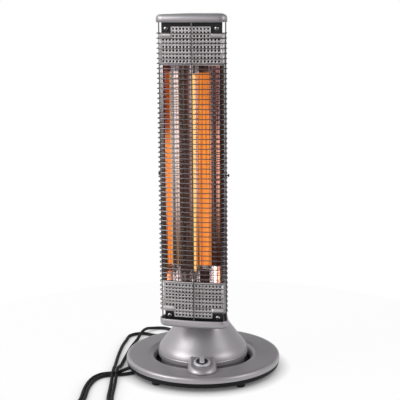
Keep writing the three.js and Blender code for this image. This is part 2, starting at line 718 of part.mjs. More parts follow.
// a flat-lying wire of three sides along a line of [u, v] points, its ridge turned inwards
function bentWire(points, z) {
  const corners = [];
  const sections = points.map(([u, v], k) => {
    const before = points[Math.max(k - 1, 0)];
    const after = points[Math.min(k + 1, points.length - 1)];
    const along = new THREE.Vector2(after[0] - before[0], after[1] - before[1]).normalize();
    const [nx, ny] = [-along.y * WIRE_R, along.x * WIRE_R];
    const rise = 0.87 * WIRE_R;
    return [[u + nx, v + ny, z], [u - nx / 2, v - ny / 2, z + rise], [u - nx / 2, v - ny / 2, z - rise]];
  });
  const triangle = (a, b, c) => corners.push(...a, ...b, ...c);
  for (let k = 0; k + 1 < sections.length; k += 1) {
    for (let side = 0; side < 3; side += 1) {
      const next = (side + 1) % 3;
      triangle(sections[k][side], sections[k + 1][next], sections[k + 1][side]);
      triangle(sections[k][side], sections[k][next], sections[k + 1][next]);
    }
  }
  const [first, last] = [sections[0], sections[sections.length - 1]];
  triangle(first[0], first[2], first[1]);
  triangle(last[0], last[1], last[2]);
  const geometry = new THREE.BufferGeometry();
  geometry.setAttribute('position', new THREE.Float32BufferAttribute(corners, 3));
  return geometry;
}

function wireGuard() {
  const path = guardWirePath();
  const stayInset = WIRE_INSET + WIRE_R + STAY_R - 0.3;
  const sideStayU = sideU(SIDE_STAY_V, stayInset);
  const stays = [[sideStayU, SIDE_STAY_V], [-sideStayU, SIDE_STAY_V], [STAY_U, FRONT_V + stayInset + 0.1]];
  const bars = stays.map(([u, v]) => solid(
    raised(circle(u, v, STAY_R, 4), LOW_CAP_TOP + GAP, TOP_CAP_BOTTOM - GAP)));
  const wires = Array.from({ length: WIRE_COUNT }, (_, k) => solid(
    bentWire(path, FIRST_WIRE_Z + k * WIRE_PITCH)));
  return shape(wasm.Manifold.union([...bars, ...wires]));
}

// ---------------------------------------------------------------- frames, brackets, screws
function sideFrame(side) {
  const front = plateBackAt(FRAME_IN_U) + 3 * GAP; // clears the bowed sheet's flats
  const housing = sideU(FRAME_BACK_V - 1, HOUSING_INSET) + GAP;
  const line = [[FRAME_IN_U, front], [FRAME_OUT_U - 1, FRAME_FRONT_V - 0.4],
    [FRAME_OUT_U, FRAME_FRONT_V + 0.8], [FRAME_OUT_U, FRAME_BACK_V - 0.8],
    [FRAME_OUT_U - 1, FRAME_BACK_V], [housing, FRAME_BACK_V]];
  const section = strip(line, 1);
  return raised(side > 0 ? section : mirrored(section), FRAME_BOTTOM, FRAME_TOP - GAP);
}

function endBracket(z0, z1) {
  const web = box(-BRACKET_HALF_W, BRACKET_HALF_W, BRACKET_V, BRACKET_V + BRACKET_T, z0, z1);
  const flange = (side) => {
    const back = -70;
    const inner = HOUSING_INSET + SHEET_T + GAP;
    const wall = [[sideU(BRACKET_V + 1, inner), BRACKET_V + 1], [sideU(back, inner), back],
      [sideU(back, inner) - SHEET_T, back], [sideU(BRACKET_V + 1, inner) - SHEET_T, BRACKET_V + 1]];
    return solid(raised(side > 0 ? wall : mirrored(wall), z0, z1));
  };
  return shape(solid(web).add(flange(1)).add(flange(-1)));
}

function panScrew(headR, headH, shankR, shankL) {
  return turned([[0, 0], [shankR, 0], [shankR, shankL], [headR, shankL], [headR - 0.3, shankL + headH * 0.6],
    [headR * 0.6, shankL + headH], [0, shankL + headH]], 8);
}

// ---------------------------------------------------------------- wiring
function topLead() {
  const z = LAMP.high + GAP;
  return wire(smooth([[0, LAMP_V, z], [0, LAMP_V, z + 6], [0, LAMP_V + 16, z + 20], [4, -38, z + 18],
    [6, -22, z], [6, -20, 560], [6, -20, 400], [6, -20, 250], [6, -18, 160], [6, -6, 128],
    [6, -2, 108], [6, -2, 90]]), 1.6, 6, 22);
}

function bottomLead() {
  const z = LAMP.low - GAP;
  return wire(smooth([[0, LAMP_V, z], [0, LAMP_V, z - 6], [0, LAMP_V + 5, z - 14], [-2, -56, 174],
    [-5, -40, 160], [-6, -20, 142], [-6, -6, 126], [-6, -2, 108], [-6, -2, 90]]), 1.6, 6, 16);
}

// ---------------------------------------------------------------- mains cord
const RELIEF = { x: 11.5 - BASE_R, y: -51, z: 14.8, yaw: 6 * RAD, dip: 20 * RAD }; // in the tray's wall

// tapered sleeve pointing along +X from its seat inside the tray's wall
function strainRelief() {
  const line = [[0, -6], [RELIEF_R, -6], [RELIEF_R, 5], [RELIEF_R - 0.6, 6.5], [RELIEF_R - 0.1, 8],
    [RELIEF_R - 0.6, 11], [RELIEF_R - 0.1, 12.5], [CORD_R + 0.3, RELIEF_L], [0, RELIEF_L]];
  return turned(line, 11).rotateY(Math.PI / 2);
}

const U_TURN_Y = -233;
const U_TURN_X = -213;
const INNER_TURN_R = 29.6;
const OUTER_TURN_R = 37.1;
const REAR_TURN = { x: -102.1, y: 223.5, r: 28.8 };
const APEX_TURN = { x: -143, y: 179, r: 32 };
const LIE = CORD_R + 0.1; // height of the centreline on the ground
const OVER = 3 * CORD_R + 0.5; // height where it passes over another strand

function turn(x, y, r, fromDeg, toDeg, steps) {
  return Array.from({ length: steps + 1 }, (_, k) => {
    const angle = (fromDeg + ((toDeg - fromDeg) * k) / steps) * RAD;
    return [x + r * Math.cos(angle), y + r * Math.sin(angle), LIE];
  });
}

// points along an axis that dips and turns, given in millimetres from its start
function along({ x, y, z }, yaw, dip, distances) {
  return distances.map((d) => [x + d * Math.cos(yaw) * Math.cos(dip),
    y + d * Math.sin(yaw) * Math.cos(dip), z - d * Math.sin(dip)]);
}

const cordRoute = [
  ...along(RELIEF, Math.PI + RELIEF.yaw, RELIEF.dip, [RELIEF_L + GAP, RELIEF_L + 7]),
  [-187, -54.4, 4.1], [-198, -54.9, LIE], [-209, -57.6, LIE], [-219.5, -64.5, LIE], [-229.5, -79, LIE],
  [-237, -103, LIE],
  [-241.5, -135, LIE], [-243, -165, LIE], [-243.5, -190, LIE], [-245.3, -208, LIE], [-248.7, -222, LIE],
  ...turn(U_TURN_X, U_TURN_Y, OUTER_TURN_R, 180, 360, 6),
  [-177.4, -222, LIE], [-180.8, -208, LIE], [-182.4, -190, LIE], [-182.4, -165, LIE], [-182.2, -140, LIE],
  [-182, -116, LIE + 0.8],
  [-181.9, -98, 6.6], [-181.9, -84, 9.6], [-181.9, -68, 12], [-181.7, -54, 13], [-180.9, -40, 11],
  [-179.6, -26, 7.4], [-178.2, -12, 4.6], [-176.6, 0, LIE], [-173, 33, LIE], [-168, 72, LIE],
  [-163, 110, LIE], [-157, 142, LIE], [-152, 163, 4.4], [-148, 182, 7], [-143.8, 198, 9.8],
  [-138.5, 214, OVER],
  [-132, 228.5, 9.8], [-126, 239, 7.2], [-116.7, 248, 4.6],
  ...turn(REAR_TURN.x, REAR_TURN.y, REAR_TURN.r, 95, -90, 6),
  [-112.8, 196, LIE], [-122.8, 201.6, LIE], [-132.2, 208.2, LIE],
  ...turn(APEX_TURN.x, APEX_TURN.y, APEX_TURN.r, 90, 180, 3), [-177.4, 160, LIE],
  [-182.5, 130, LIE], [-186, 90, LIE], [-188.3, 50, LIE], [-189.5, 15, LIE], [-190, -8, LIE + 0.9],
  [-190, -22, 6], [-190, -36, 9.2], [-190, -52, OVER], [-190, -68, OVER], [-190, -84, 9.4],
  [-190, -98, 6.6], [-190, -116, LIE + 0.8], [-190, -140, LIE], [-190, -165, LIE],
  [-189.9, -190, LIE], [-188.3, -208, LIE], [-184.9, -222, LIE],
  ...turn(U_TURN_X, U_TURN_Y, INNER_TURN_R, 0, -180, 6),
  [-241.1, -222, LIE], [-237.8, -208, LIE], [-236, -190, LIE], [-235.5, -165, LIE], [-234.2, -138, LIE],
  [-230, -110, LIE], [-223, -88, LIE], [-213.5, -74, LIE],
  [-202, -67, LIE], [-190, -64.5, LIE], [-178, -63.5, LIE], [-163, -60.3, LIE], [-146, -51.5, LIE],
  [-128, -36, LIE], [-112, -14, LIE], [-100, 14, LIE], [-92, 46, LIE], [-85, 80, LIE],
  [-78, 114, LIE], [-72.5, 146, LIE], [-67.5, 168, LIE], [-61.5, 182.5, LIE],
];

const PLUG = { x: -40, y: 201, z: 7.2, yaw: 28 * RAD, dip: -17 * RAD };

function cordCurve() {
  const [middle, end] = along(PLUG, PLUG.yaw, PLUG.dip, [-8, -GAP]);
  return smooth([...cordRoute, [-54, 192, 4.1], middle, end]);
}

// plug with its tail at the origin, pins towards +X
function mainsPlug() {
  const r = PLUG_FACE_R;
  const body = turned([[0, 0], [CORD_R + 0.5, 0], [CORD_R + 1.6, 16], [8, 19], [10, 26], [r - 1, PLUG_L - 12],
    [r, PLUG_L - 9], [r, PLUG_L - 1], [r - 1, PLUG_L], [0, PLUG_L]], 20);
  const pin = (side) => turned([[0, PLUG_L - 2], [2.4, PLUG_L - 2], [2.4, PLUG_L + 18], [1.4, PLUG_L + 19],
    [0, PLUG_L + 19]], 8).translate(0, side * 9.5, 0);
  const whole = solid(body).add(solid(pin(1))).add(solid(pin(-1)));
  return shape(whole).rotateY(Math.PI / 2);
}

const TIE_Y = -78;

function cordTie() {
  const half = CORD_R + 2.5 * GAP;
  const arcs = (grow) => arcChain([
    { x: -181.9, y: 10.6, r: half + grow, from: -90, to: 90, n: 8 },
    { x: -190, y: 10.2, r: half + grow, from: 90, to: 270, n: 8 },
  ], 0);
  return raised(arcs(1.1), -2, 2, [arcs(0)]).rotateX(Math.PI / 2).translate(0, TIE_Y, 0);
}

// ---------------------------------------------------------------- assembly
put('base_cover', baseCover(), 'paint');
put('base_tray', baseTray(), 'black');
put('ballast_plate', ballastPlate(), 'steel');
for (let k = 0; k < FOOT_COUNT; k += 1) {
  put(`foot_${k + 1}`, foot(k), 'rubber');
}
put('pedestal_dome', pedestalDome(), 'paint');
put('swivel_bush', swivelBush(), 'black');
put('selector_knob', selectorKnob(), 'paint', knobFrame);
put('rotary_switch', rotarySwitch(), 'black', knobFrame);
put('gear_motor', gearMotor(), 'steel').position.set(0, CRANK_OFFSET, 0);
put('motor_bracket', motorBracket(), 'steel');
const crank = put('crank_arm', crankArm(), 'brass');
crank.position.set(0, CRANK_OFFSET, 0);
crank.rotation.z = YAW_DEG * SWING_RATIO * RAD;
put('tip_plunger', tipPlunger(), 'black');
put('tip_switch', tipSwitch(), 'black');
put('terminal_block', terminalBlock(), 'ceramic');

const relief = put('strain_relief', strainRelief(), 'rubber');
relief.position.set(RELIEF.x, RELIEF.y, RELIEF.z);
relief.rotation.set(0, RELIEF.dip, Math.PI + RELIEF.yaw, 'ZYX');
put('mains_cord', wire(cordCurve(), CORD_R, 8, cordRoute.length + 2), 'rubber');
const plug = put('mains_plug', mainsPlug(), 'rubber');
plug.position.set(PLUG.x, PLUG.y, PLUG.z);
plug.rotation.set(0, PLUG.dip, PLUG.yaw, 'ZYX');
put('cord_tie', cordTie(), 'black');

put('bottom_cap', bottomCap(), 'paint', tower);
put('top_cap', topCap(), 'paint', tower);
put('rear_housing', rearHousing(), 'paint', tower);
put('swivel_tube', swivelTube(), 'steel', tower);
put('retaining_ring', retainingRing(), 'steel', tower);
put('swing_lever', swingLever(), 'steel', tower);
put('perforated_plate_top', perforatedPlate(TOP_PLATE_TOP, -1), 'plate', tower);
put('perforated_plate_bottom', perforatedPlate(LOW_PLATE_BOTTOM, 1), 'plate', tower);
put('reflector', reflector(), 'mirror', tower);
put('chamber_end_top', chamberEnd(TOP_PLATE_BOTTOM - 0.5), 'mirror', tower);
put('chamber_end_bottom', chamberEnd(LOW_PLATE_TOP - 0.5), 'mirror', tower);
put('quartz_tube', quartzTube(), 'glass', tower);
put('lamp_cap_bottom', lampCap().translate(0, LAMP_V, LAMP.low), 'ceramic', tower);
const lampCapTop = put('lamp_cap_top', lampCap(), 'ceramic', tower);
lampCapTop.position.set(0, LAMP_V, LAMP.high);
lampCapTop.rotation.x = Math.PI;

const boreLow = LAMP.low + LAMP_CAP_L - LAMP_CAP_DEPTH;
const boreHigh = LAMP.high - LAMP_CAP_L + LAMP_CAP_DEPTH;
const filamentStrip = box(-STRIP_W / 2, STRIP_W / 2, -STRIP_T / 2, STRIP_T / 2,
  boreLow + SPRING_L, boreHigh - SPRING_L);
put('filament', filamentStrip.rotateZ(STRIP_TURN_DEG * RAD).translate(0, LAMP_V, 0), 'carbon', tower);
for (const [name, z] of [['filament_spring_bottom', boreLow], ['filament_spring_top', boreHigh - SPRING_L]]) {
  put(name, filamentSpring().translate(0, LAMP_V, z + GAP + SPRING_WIRE_R), 'steel', tower);
}
put('wire_guard', wireGuard(), 'wire', tower);
put('side_frame_right', sideFrame(1), 'mirror', tower);
put('side_frame_left', sideFrame(-1), 'mirror', tower);
put('end_bracket_top', endBracket(FRAME_TOP, CAP_CEILING - GAP), 'black', tower);
put('end_bracket_bottom', endBracket(CAP_FLOOR + GAP, FRAME_BOTTOM - GAP), 'black', tower);

const screwZ = { top: TOP_PLATE_TOP - 4.1, bottom: LOW_PLATE_BOTTOM + 1 };
for (const [end, z] of Object.entries(screwZ)) {
  for (const [side, u] of [['right', SCREW_U], ['left', -SCREW_U]]) {
    const screw = put(`bracket_screw_${end}_${side}`,
      panScrew(SCREW_HEAD_R, SCREW_HEAD_H, 1.8, 0.1), 'steel', tower);
    screw.position.set(u, BRACKET_V - GAP, z);
    screw.rotation.x = Math.PI / 2;
  }
}
const midWire = FIRST_WIRE_Z + (Math.floor(WIRE_COUNT / 2) - 0.5) * WIRE_PITCH;
for (const [name, side] of [['side_screw_right', 1], ['side_screw_left', -1]]) {
  const screw = put(name, panScrew(3.3, 2.2, 1.6, 5.2), 'black', tower);
  screw.position.set(side * (FRAME_OUT_U + GAP), SIDE_SCREW_V, midWire);
  screw.rotation.y = (side * Math.PI) / 2;
}
put('lead_top', topLead(), 'brass', tower);
put('lead_bottom', bottomLead(), 'brass', tower);

export default heater;
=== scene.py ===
# %% [markdown]
# # An infrared patio heater tower
# A heater of this kind stands on a round base and swings from side to side. An upright carbon lamp
# glows in a polished trough behind a wire guard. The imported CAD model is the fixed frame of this
# lesson: it says where every piece is and what moves. Here each visible piece gets its smooth
# surface and its finish.

# %% Load the frame
import math

import bmesh
import bpy
import numpy as np
from mathutils import Matrix, Vector


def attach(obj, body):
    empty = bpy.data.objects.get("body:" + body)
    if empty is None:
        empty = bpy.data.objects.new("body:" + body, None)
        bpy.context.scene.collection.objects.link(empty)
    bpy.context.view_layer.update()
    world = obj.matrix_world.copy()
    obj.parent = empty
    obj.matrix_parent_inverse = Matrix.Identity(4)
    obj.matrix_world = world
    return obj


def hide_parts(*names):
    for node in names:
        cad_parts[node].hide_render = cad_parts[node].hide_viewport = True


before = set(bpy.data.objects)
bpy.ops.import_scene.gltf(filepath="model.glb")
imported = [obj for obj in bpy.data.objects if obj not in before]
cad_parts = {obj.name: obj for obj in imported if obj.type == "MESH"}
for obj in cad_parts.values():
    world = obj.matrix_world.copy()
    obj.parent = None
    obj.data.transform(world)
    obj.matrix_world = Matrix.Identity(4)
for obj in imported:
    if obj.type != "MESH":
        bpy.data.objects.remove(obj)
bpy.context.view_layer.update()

# %% [markdown]
# ## The camera
# A long lens about 2.2 m in front looks down 11 degrees. A constraint could aim the camera at the
# object, but the small roll about the view direction is easier to see in a matrix, so the matrix is
# written straight from the camera's three axes and its place.

# %% Camera
PITCH, ROLL = 0.19242, -0.0078
CAMERA_PLACE = (-0.003967, -2.17598, 0.78897)
SENSOR_MM, LENS_MM = 36, 94.829
right = np.array([1.0, 0.0, 0.0])
up = np.array([0.0, math.sin(PITCH), math.cos(PITCH)])
ahead = np.array([0.0, math.cos(PITCH), -math.sin(PITCH)])
camera_axes = np.eye(4)
camera_axes[:3, 0] = math.cos(ROLL) * right + math.sin(ROLL) * up
camera_axes[:3, 1] = math.cos(ROLL) * up - math.sin(ROLL) * right
camera_axes[:3, 2] = -ahead
camera_axes[:3, 3] = CAMERA_PLACE
camera_data = bpy.data.cameras.new("camera")
camera_data.sensor_width = SENSOR_MM
camera_data.lens = LENS_MM
camera = bpy.data.objects.new("camera", camera_data)
bpy.context.collection.objects.link(camera)
camera.matrix_world = Matrix(camera_axes.tolist())
bpy.context.scene.camera = camera
print("camera lens", LENS_MM, "mm")

# %% [markdown]
# ## Meshes from arrays
# Nearly every part of the heater is turned, lofted, bent from sheet or drawn as wire. Each could be
# a primitive with modifiers, but a grid of points worked out with numpy gives the exact section.
# These helpers join a grid into quads, close its ends and hand the arrays to Blender.

# %% Grids and pieces
MM = 0.001
YAW = math.radians(12.5)


def grid_quads(rows, columns, wrap=False):
    """Quads between neighbouring rows and columns; wrap joins the last column to the first."""
    row = np.arange(rows - 1)[:, None]
    column = np.arange(columns if wrap else columns - 1)[None, :]
    after = (column + 1) % columns
    low, high = row * columns, (row + 1) * columns
    return np.stack([low + column, low + after, high + after, high + column], -1).reshape(-1, 4)


def capped_rings(rings, count):
    """Faces of rings that are joined one to the next, with a flat cap on the first and the last."""
    last = (rings - 1) * count
    return [*map(tuple, grid_quads(rings, count, wrap=True)),
            tuple(range(count))[::-1], tuple(range(last, last + count))]


def rotated(points, angle, a=0, b=1):
    """Turns points from axis a towards axis b: (a cos t - b sin t, a sin t + b cos t)."""
    points = np.asarray(points, float)
    result = points.copy()
    result[:, a] = points[:, a] * math.cos(angle) - points[:, b] * math.sin(angle)
    result[:, b] = points[:, a] * math.sin(angle) + points[:, b] * math.cos(angle)
    return result


def to_tower(points):
    """Turns the tower's own left-right and front-back axes by its yaw about the pivot."""
    return rotated(points, -YAW)


def make_piece(name, points, faces, material, body, slot, replaces, angle=35):
    """Makes a mesh from points in millimetres and lists of faces, and rides it on its body."""
    mesh = bpy.data.meshes.new(name)
    mesh.from_pydata((np.asarray(points, float).reshape(-1, 3) * MM).tolist(), [],
                     [list(map(int, face)) for face in faces])
    mesh.validate()
    mesh.update()
    mesh.shade_smooth()
    mesh.set_sharp_from_angle(angle=math.radians(angle))
    piece = bpy.data.objects.new(name, mesh)
    bpy.context.collection.objects.link(piece)
    mesh.materials.append(material)
    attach(piece, body)
    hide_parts(replaces)
    return piece


print("a grid of 3 by 4 points has", len(grid_quads(3, 4)), "quads")


# %% Turned pieces
def angles(count):
    """The angles that part a full turn into equal steps."""
    return np.arange(count) * 2 * math.pi / count


def soften(profile, rounds=2, closed=False):
    """Cuts the corners of a profile: each becomes two points at a quarter of its two sides."""
    line = np.asarray(profile, float)
    for _ in range(rounds):
        before, after = (line, np.roll(line, -1, axis=0)) if closed else (line[:-1], line[1:])
        cut = np.stack([0.75 * before + 0.25 * after, 0.25 * before + 0.75 * after], 1)
        cut = cut.reshape(-1, 2)
        line = cut if closed else np.vstack([line[:1], cut[1:-1], line[-1:]])
    return line


def turned(profile, segments=128, closed=False):
    """Points (r cos t, r sin t, z) of a profile turned upright; closed joins the profile's ends."""
    line = np.asarray(profile, float)
    t = angles(segments)
    points = np.stack([line[:, :1] * np.cos(t), line[:, :1] * np.sin(t),
                       np.repeat(line[:, 1:], segments, 1)], -1).reshape(-1, 3)
    faces = capped_rings(len(line), segments)
    if closed:
        ring = np.arange(segments)
        after, last = (ring + 1) % segments, (len(line) - 1) * segments
        faces = faces[:-2] + [*map(tuple, np.stack([last + ring, last + after, after, ring], -1))]
    return points, faces


print("a softened triangle has", len(soften([[0, 0], [1, 0], [0, 1]], closed=True)), "corners")


# %% Tubes and smooth lines
def tube(path, radius, sides=8):
    """A round tube on a path: each ring of points lies in the plane across the path's direction."""
    line = np.asarray(path, float)
    along = np.gradient(line, axis=0)
    along /= np.linalg.norm(along, axis=1)[:, None]
    side = np.zeros_like(line)
    guess = np.array([0.0, 0.0, 1.0]) if abs(along[0][2]) < 0.8 else np.array([1.0, 0.0, 0.0])
    for k, direction in enumerate(along):
        guess = guess - direction * guess.dot(direction)
        guess = guess / np.linalg.norm(guess)
        side[k] = guess
    other = np.cross(along, side)
    t = angles(sides)
    rings = line[:, None] + radius * (side[:, None] * np.cos(t)[:, None]
                                      + other[:, None] * np.sin(t)[:, None])
    return rings.reshape(-1, 3), capped_rings(len(line), sides)


def joined(parts):
    """Puts several (points, faces) pairs into one, moving each one's face numbers along."""
    points, faces, start = [], [], 0
    for part_points, part_faces in parts:
        part_points = np.asarray(part_points, float).reshape(-1, 3)
        points.append(part_points)
        faces += [tuple(int(i) + start for i in face) for face in part_faces]
        start += len(part_points)
    return np.vstack(points), faces


def spline(points, steps):
    """A smooth line through points: cubics whose slopes at a point come from its neighbours."""
    p = np.asarray(points, float)
    p = np.vstack([2 * p[0] - p[1], p, 2 * p[-1] - p[-2]])
    t = np.linspace(0, 1, steps, endpoint=False)[:, None, None]
    a, b, c, d = p[:-3], p[1:-2], p[2:-1], p[3:]
    curve = 0.5 * (2 * b + (c - a) * t + (2 * a - 5 * b + 4 * c - d) * t ** 2
                   + (3 * b - a - 3 * c + d) * t ** 3)
    return np.vstack([curve.transpose(1, 0, 2).reshape(-1, p.shape[1]), p[-2:-1]])


print("a spline of 3 points in 4 steps has", len(spline([[0, 0], [1, 1], [2, 0]], 4)), "points")


# %% Lofted pieces
def arc_chain(arcs, inset=0.0):
    """Points along tangent arcs (x, y, r, from, to, n), every radius made smaller by the inset."""
    lines = []
    for x, y, r, start, end, n in arcs:
        t = np.radians(np.linspace(start, end, n + 1))
        lines.append(np.stack([x + (r - inset) * np.cos(t), y + (r - inset) * np.sin(t)], -1))
    line = np.vstack(lines)
    keep = np.linalg.norm(line - np.roll(line, 1, axis=0), axis=1) > 1e-6
    return line[keep]


def lofted(arcs, rows, tilt_from=0.0):
    """Rings of one outline at rows (inset, z, tilt), where tilt raises a ring towards the back."""
    rings = []
    for inset, z, tilt in rows:
        ring = arc_chain(arcs, inset)
        rings.append(np.column_stack([ring, z + tilt * (ring[:, 1] - tilt_from)]))
    return np.vstack(rings), capped_rings(len(rings), len(rings[0]))


print("a circle of 6 steps has", len(arc_chain([(0, 0, 1, 0, 360, 6)])), "points")

# %% [markdown]
# ## Shader groups
# A real surface is never quite even: paint has flakes, plastic has grain and rolled sheet has fine
# streaks. Pictures could show that, but noise needs no file and stays sharp at any distance. Two
# shader groups make it once, and every finish sets its own numbers on them.

# %% Shader helpers
def fill(tree, node, inputs):
    """Gives each named input of a node its value, or a link if that is another node's output."""
    for label, value in inputs.items():
        if isinstance(value, bpy.types.NodeSocket):
            tree.links.new(value, node.inputs[label])
        else:
            node.inputs[label].default_value = value


def add_node(tree, kind, inputs=None):
    """Adds a shader node and fills its inputs."""
    node = tree.nodes.new("ShaderNode" + kind)
    fill(tree, node, inputs or {})
    return node


def reckon(tree, operation, *values):
    """The output of a Math node that works on numbers or on other nodes' outputs."""
    node = tree.nodes.new("ShaderNodeMath")
    node.operation = operation
    fill(tree, node, dict(enumerate(values)))
    return node.outputs[0]


def blended(tree, amount, first, second, kind="MIX"):
    """The output of a Mix node that goes from the first colour to the second by the amount."""
    node = tree.nodes.new("ShaderNodeMix")
    node.data_type, node.blend_type = "RGBA", kind
    fill(tree, node, {0: amount, 6: first, 7: second})
    return node.outputs[2]


def spread(tree, value, low, high):
    """The output of a Map Range node: low to high becomes 0 to 1."""
    node = add_node(tree, "MapRange", {"Value": value, "From Min": low, "From Max": high})
    return node.outputs[0]


def upright_streaks(tree, scale, detail, low, high):
    """A mask from noise whose scale is high across and low along Z, spread from low to high."""
    where = add_node(tree, "TexCoord").outputs["Object"]
    stretch = add_node(tree, "Mapping", {"Vector": where, "Scale": scale}).outputs["Vector"]
    noise = add_node(tree, "TexNoise", {"Vector": stretch, "Scale": 1.0, "Detail": detail})
    return spread(tree, noise.outputs["Fac"], low, high)


def new_material(name):
    """A new material, its node tree and its shader."""
    material = bpy.data.materials.new(name)
    material.use_nodes = True
    return material, material.node_tree, material.node_tree.nodes["Principled BSDF"]


def new_group(name, inputs, outputs):
    """A shader group with inputs of a name and a default, and outputs of a name."""
    group = bpy.data.node_groups.new(name, "ShaderNodeTree")
    kinds = {True: "NodeSocketColor", False: "NodeSocketFloat"}
    for label, value in inputs.items():
        kind = kinds[isinstance(value, tuple)]
        group.interface.new_socket(label, in_out="INPUT", socket_type=kind).default_value = value
    for label in outputs:
        group.interface.new_socket(label, in_out="OUTPUT", socket_type=kinds[label == "Color"])
    return group, group.nodes.new("NodeGroupInput").outputs, group.nodes.new("NodeGroupOutput")


# %% Shader groups
def fine_grain_group():
    """Colour and roughness that wander with two noises, and a height: flakes, dust, moulding."""
    group, into, out = new_group(
        "fine_grain",
        {"Color": (0.5, 0.5, 0.5, 1), "Grain": 2000.0, "Patch": 14.0, "Shade": 0.15,
         "Roughness": 0.4, "Rough Range": 0.08}, ("Color", "Roughness", "Height"))
    where = add_node(group, "TexCoord").outputs["Object"]
    grain, patch = (add_node(group, "TexNoise", {"Vector": where, "Scale": into[scale],
                                                 "Detail": detail}).outputs["Fac"]
                    for scale, detail in (("Grain", 2), ("Patch", 3)))
    centred = reckon(group, "SUBTRACT", reckon(group, "ADD", grain, patch), 1.0)
    tint = group.nodes.new("ShaderNodeVectorMath")
    tint.operation = "SCALE"
    fill(group, tint, {0: into["Color"],
                       "Scale": reckon(group, "MULTIPLY_ADD", centred, into["Shade"], 1.0)})
    rough = reckon(group, "MULTIPLY_ADD", centred, into["Rough Range"], into["Roughness"])
    rough.node.use_clamp = True
    fill(group, out, {"Color": tint.outputs[0], "Roughness": rough, "Height": grain})
    return group


def streaks_group():
    """Colour drawn towards a second one in upright streaks: noise that is stretched along Z."""
    group, into, out = new_group(
        "streaks", {"Color": (0.8, 0.8, 0.8, 1), "Dark": (0.4, 0.4, 0.4, 1), "Amount": 0.85},
        ("Color",))
    mask = upright_streaks(group, (430, 430, 4), 3, 0.5, 0.64)
    amount = reckon(group, "MULTIPLY", mask, into["Amount"])
    fill(group, out, {"Color": blended(group, amount, into["Color"], into["Dark"])})
    return group


FINE_GRAIN = fine_grain_group()
STREAKS = streaks_group()
print("groups", FINE_GRAIN.name, STREAKS.name)

# %% [markdown]
# ## Finishes
# The heater's shell is silver paint, its trough and wires are bright metal, and its base, plug and
# feet are black plastic and rubber. One function makes them all: the paints are part metal under a
# thin coat, the sheets are full metal with hardly any roughness, and the blacks are matt.

# %% Finishes
BUMP_DEPTH = 0.0002


def finish(name, color, roughness, metallic=0.0, grain=2000, patch=14, shade=0.12,
           rough_range=0.06, bump=0.0, coat=0.0, coat_roughness=0.1, specular=0.5, streak=None):
    """A shader whose colour, roughness and bump wander; streak is the colour of its streaks."""
    material, tree, shader = new_material(name)
    uneven = tree.nodes.new("ShaderNodeGroup")
    uneven.node_tree = FINE_GRAIN
    fill(tree, uneven, {"Color": (*color, 1), "Grain": grain, "Patch": patch, "Shade": shade,
                        "Roughness": roughness, "Rough Range": rough_range})
    base = uneven.outputs["Color"]
    if streak:
        drawn = tree.nodes.new("ShaderNodeGroup")
        drawn.node_tree = STREAKS
        fill(tree, drawn, {"Color": base, "Dark": (*streak, 1)})
        base = drawn.outputs["Color"]
    fill(tree, shader, {"Base Color": base, "Roughness": uneven.outputs["Roughness"],
                        "Metallic": metallic, "Coat Weight": coat,
                        "Coat Roughness": coat_roughness, "Specular IOR Level": specular})
    if bump:
        height = add_node(tree, "Bump", {"Strength": bump, "Distance": BUMP_DEPTH,
                                         "Height": uneven.outputs["Height"]})
        fill(tree, shader, {"Normal": height.outputs["Normal"]})
    return material


SILVER = finish("silver_paint", (0.37, 0.355, 0.37), 0.4, metallic=0.55, grain=3500, shade=0.2,
                bump=0.05, coat=0.08, coat_roughness=0.3)
PLATE = finish("plate_paint", (0.54, 0.52, 0.525), 0.4, metallic=0.4, grain=3500, shade=0.16,
               bump=0.05)
POLISHED = finish("polished_sheet", (0.95, 0.92, 0.92), 0.05, metallic=1.0, grain=900, patch=9,
                  shade=0.05, rough_range=0.02, streak=(0.42, 0.30, 0.28))
END_SHEET = finish("end_sheet", (0.72, 0.66, 0.66), 0.09, metallic=1.0, grain=700, patch=12,
                   shade=0.1, rough_range=0.05)
BRIGHT_EDGE = finish("bright_sheet", (0.42, 0.40, 0.41), 0.22, metallic=1.0, grain=900, shade=0.08,
                     streak=(0.15, 0.14, 0.145))
WIRE = finish("dark_wire", (0.15, 0.135, 0.135), 0.3, metallic=1.0, grain=1200, shade=0.15)
STEEL = finish("zinc_steel", (0.56, 0.56, 0.58), 0.34, metallic=1.0, grain=1500, shade=0.15)
# Near-black finish for the insides of housing and plates and for the louvre hoods: a painted shade.
INSIDE_PAINTED_SHADE = finish("inside_painted_shade", (0.018, 0.017, 0.017), 0.6, grain=900, shade=0.3, specular=0.15)
BLACK_IRON = finish("black_iron", (0.014, 0.013, 0.013), 0.6, grain=1500, shade=0.3, specular=0.2)
BLACK_PAINT = finish("black_paint", (0.010, 0.010, 0.011), 0.4, grain=2500, shade=0.3, bump=0.08,
                     specular=0.3)
BLACK_PLASTIC = finish("black_plastic", (0.008, 0.008, 0.009), 0.5, grain=2500, shade=0.3,
                       bump=0.15, specular=0.15)
RUBBER = finish("black_rubber", (0.010, 0.010, 0.011), 0.6, grain=1800, shade=0.3, bump=0.2,
                specular=0.2)
KNOB = finish("knob_plastic", (0.52, 0.50, 0.53), 0.36, metallic=0.3, grain=3000, shade=0.15,
              bump=0.05)
# Near-black finish for the knob's recessed faces: a painted shade.
KNOB_PAINTED_SHADE = finish("knob_painted_shade", (0.035, 0.034, 0.037), 0.4, metallic=0.2, grain=3000, shade=0.2)
CERAMIC = finish("lamp_ceramic", (0.74, 0.70, 0.62), 0.35, grain=1500, coat=0.3)
GLAZE = finish("metallised_glaze", (0.50, 0.46, 0.46), 0.16, metallic=0.9, grain=1500, shade=0.2)
BRASS = finish("brass", (0.62, 0.44, 0.18), 0.32, metallic=1.0, grain=1500)
SLEEVE = finish("glass_sleeve", (0.62, 0.58, 0.50), 0.7, grain=2500, shade=0.25, bump=0.3)
print("finishes", len(bpy.data.materials))

# %% [markdown]
# ## Finishes for the CAD pieces
# The drive and the wiring hide in the base, and the brackets, side frames and feet are plain shapes
# that the CAD model already has. They could be made again, but a finish in place of their plain one
# is enough. Their meshes stay as they are.

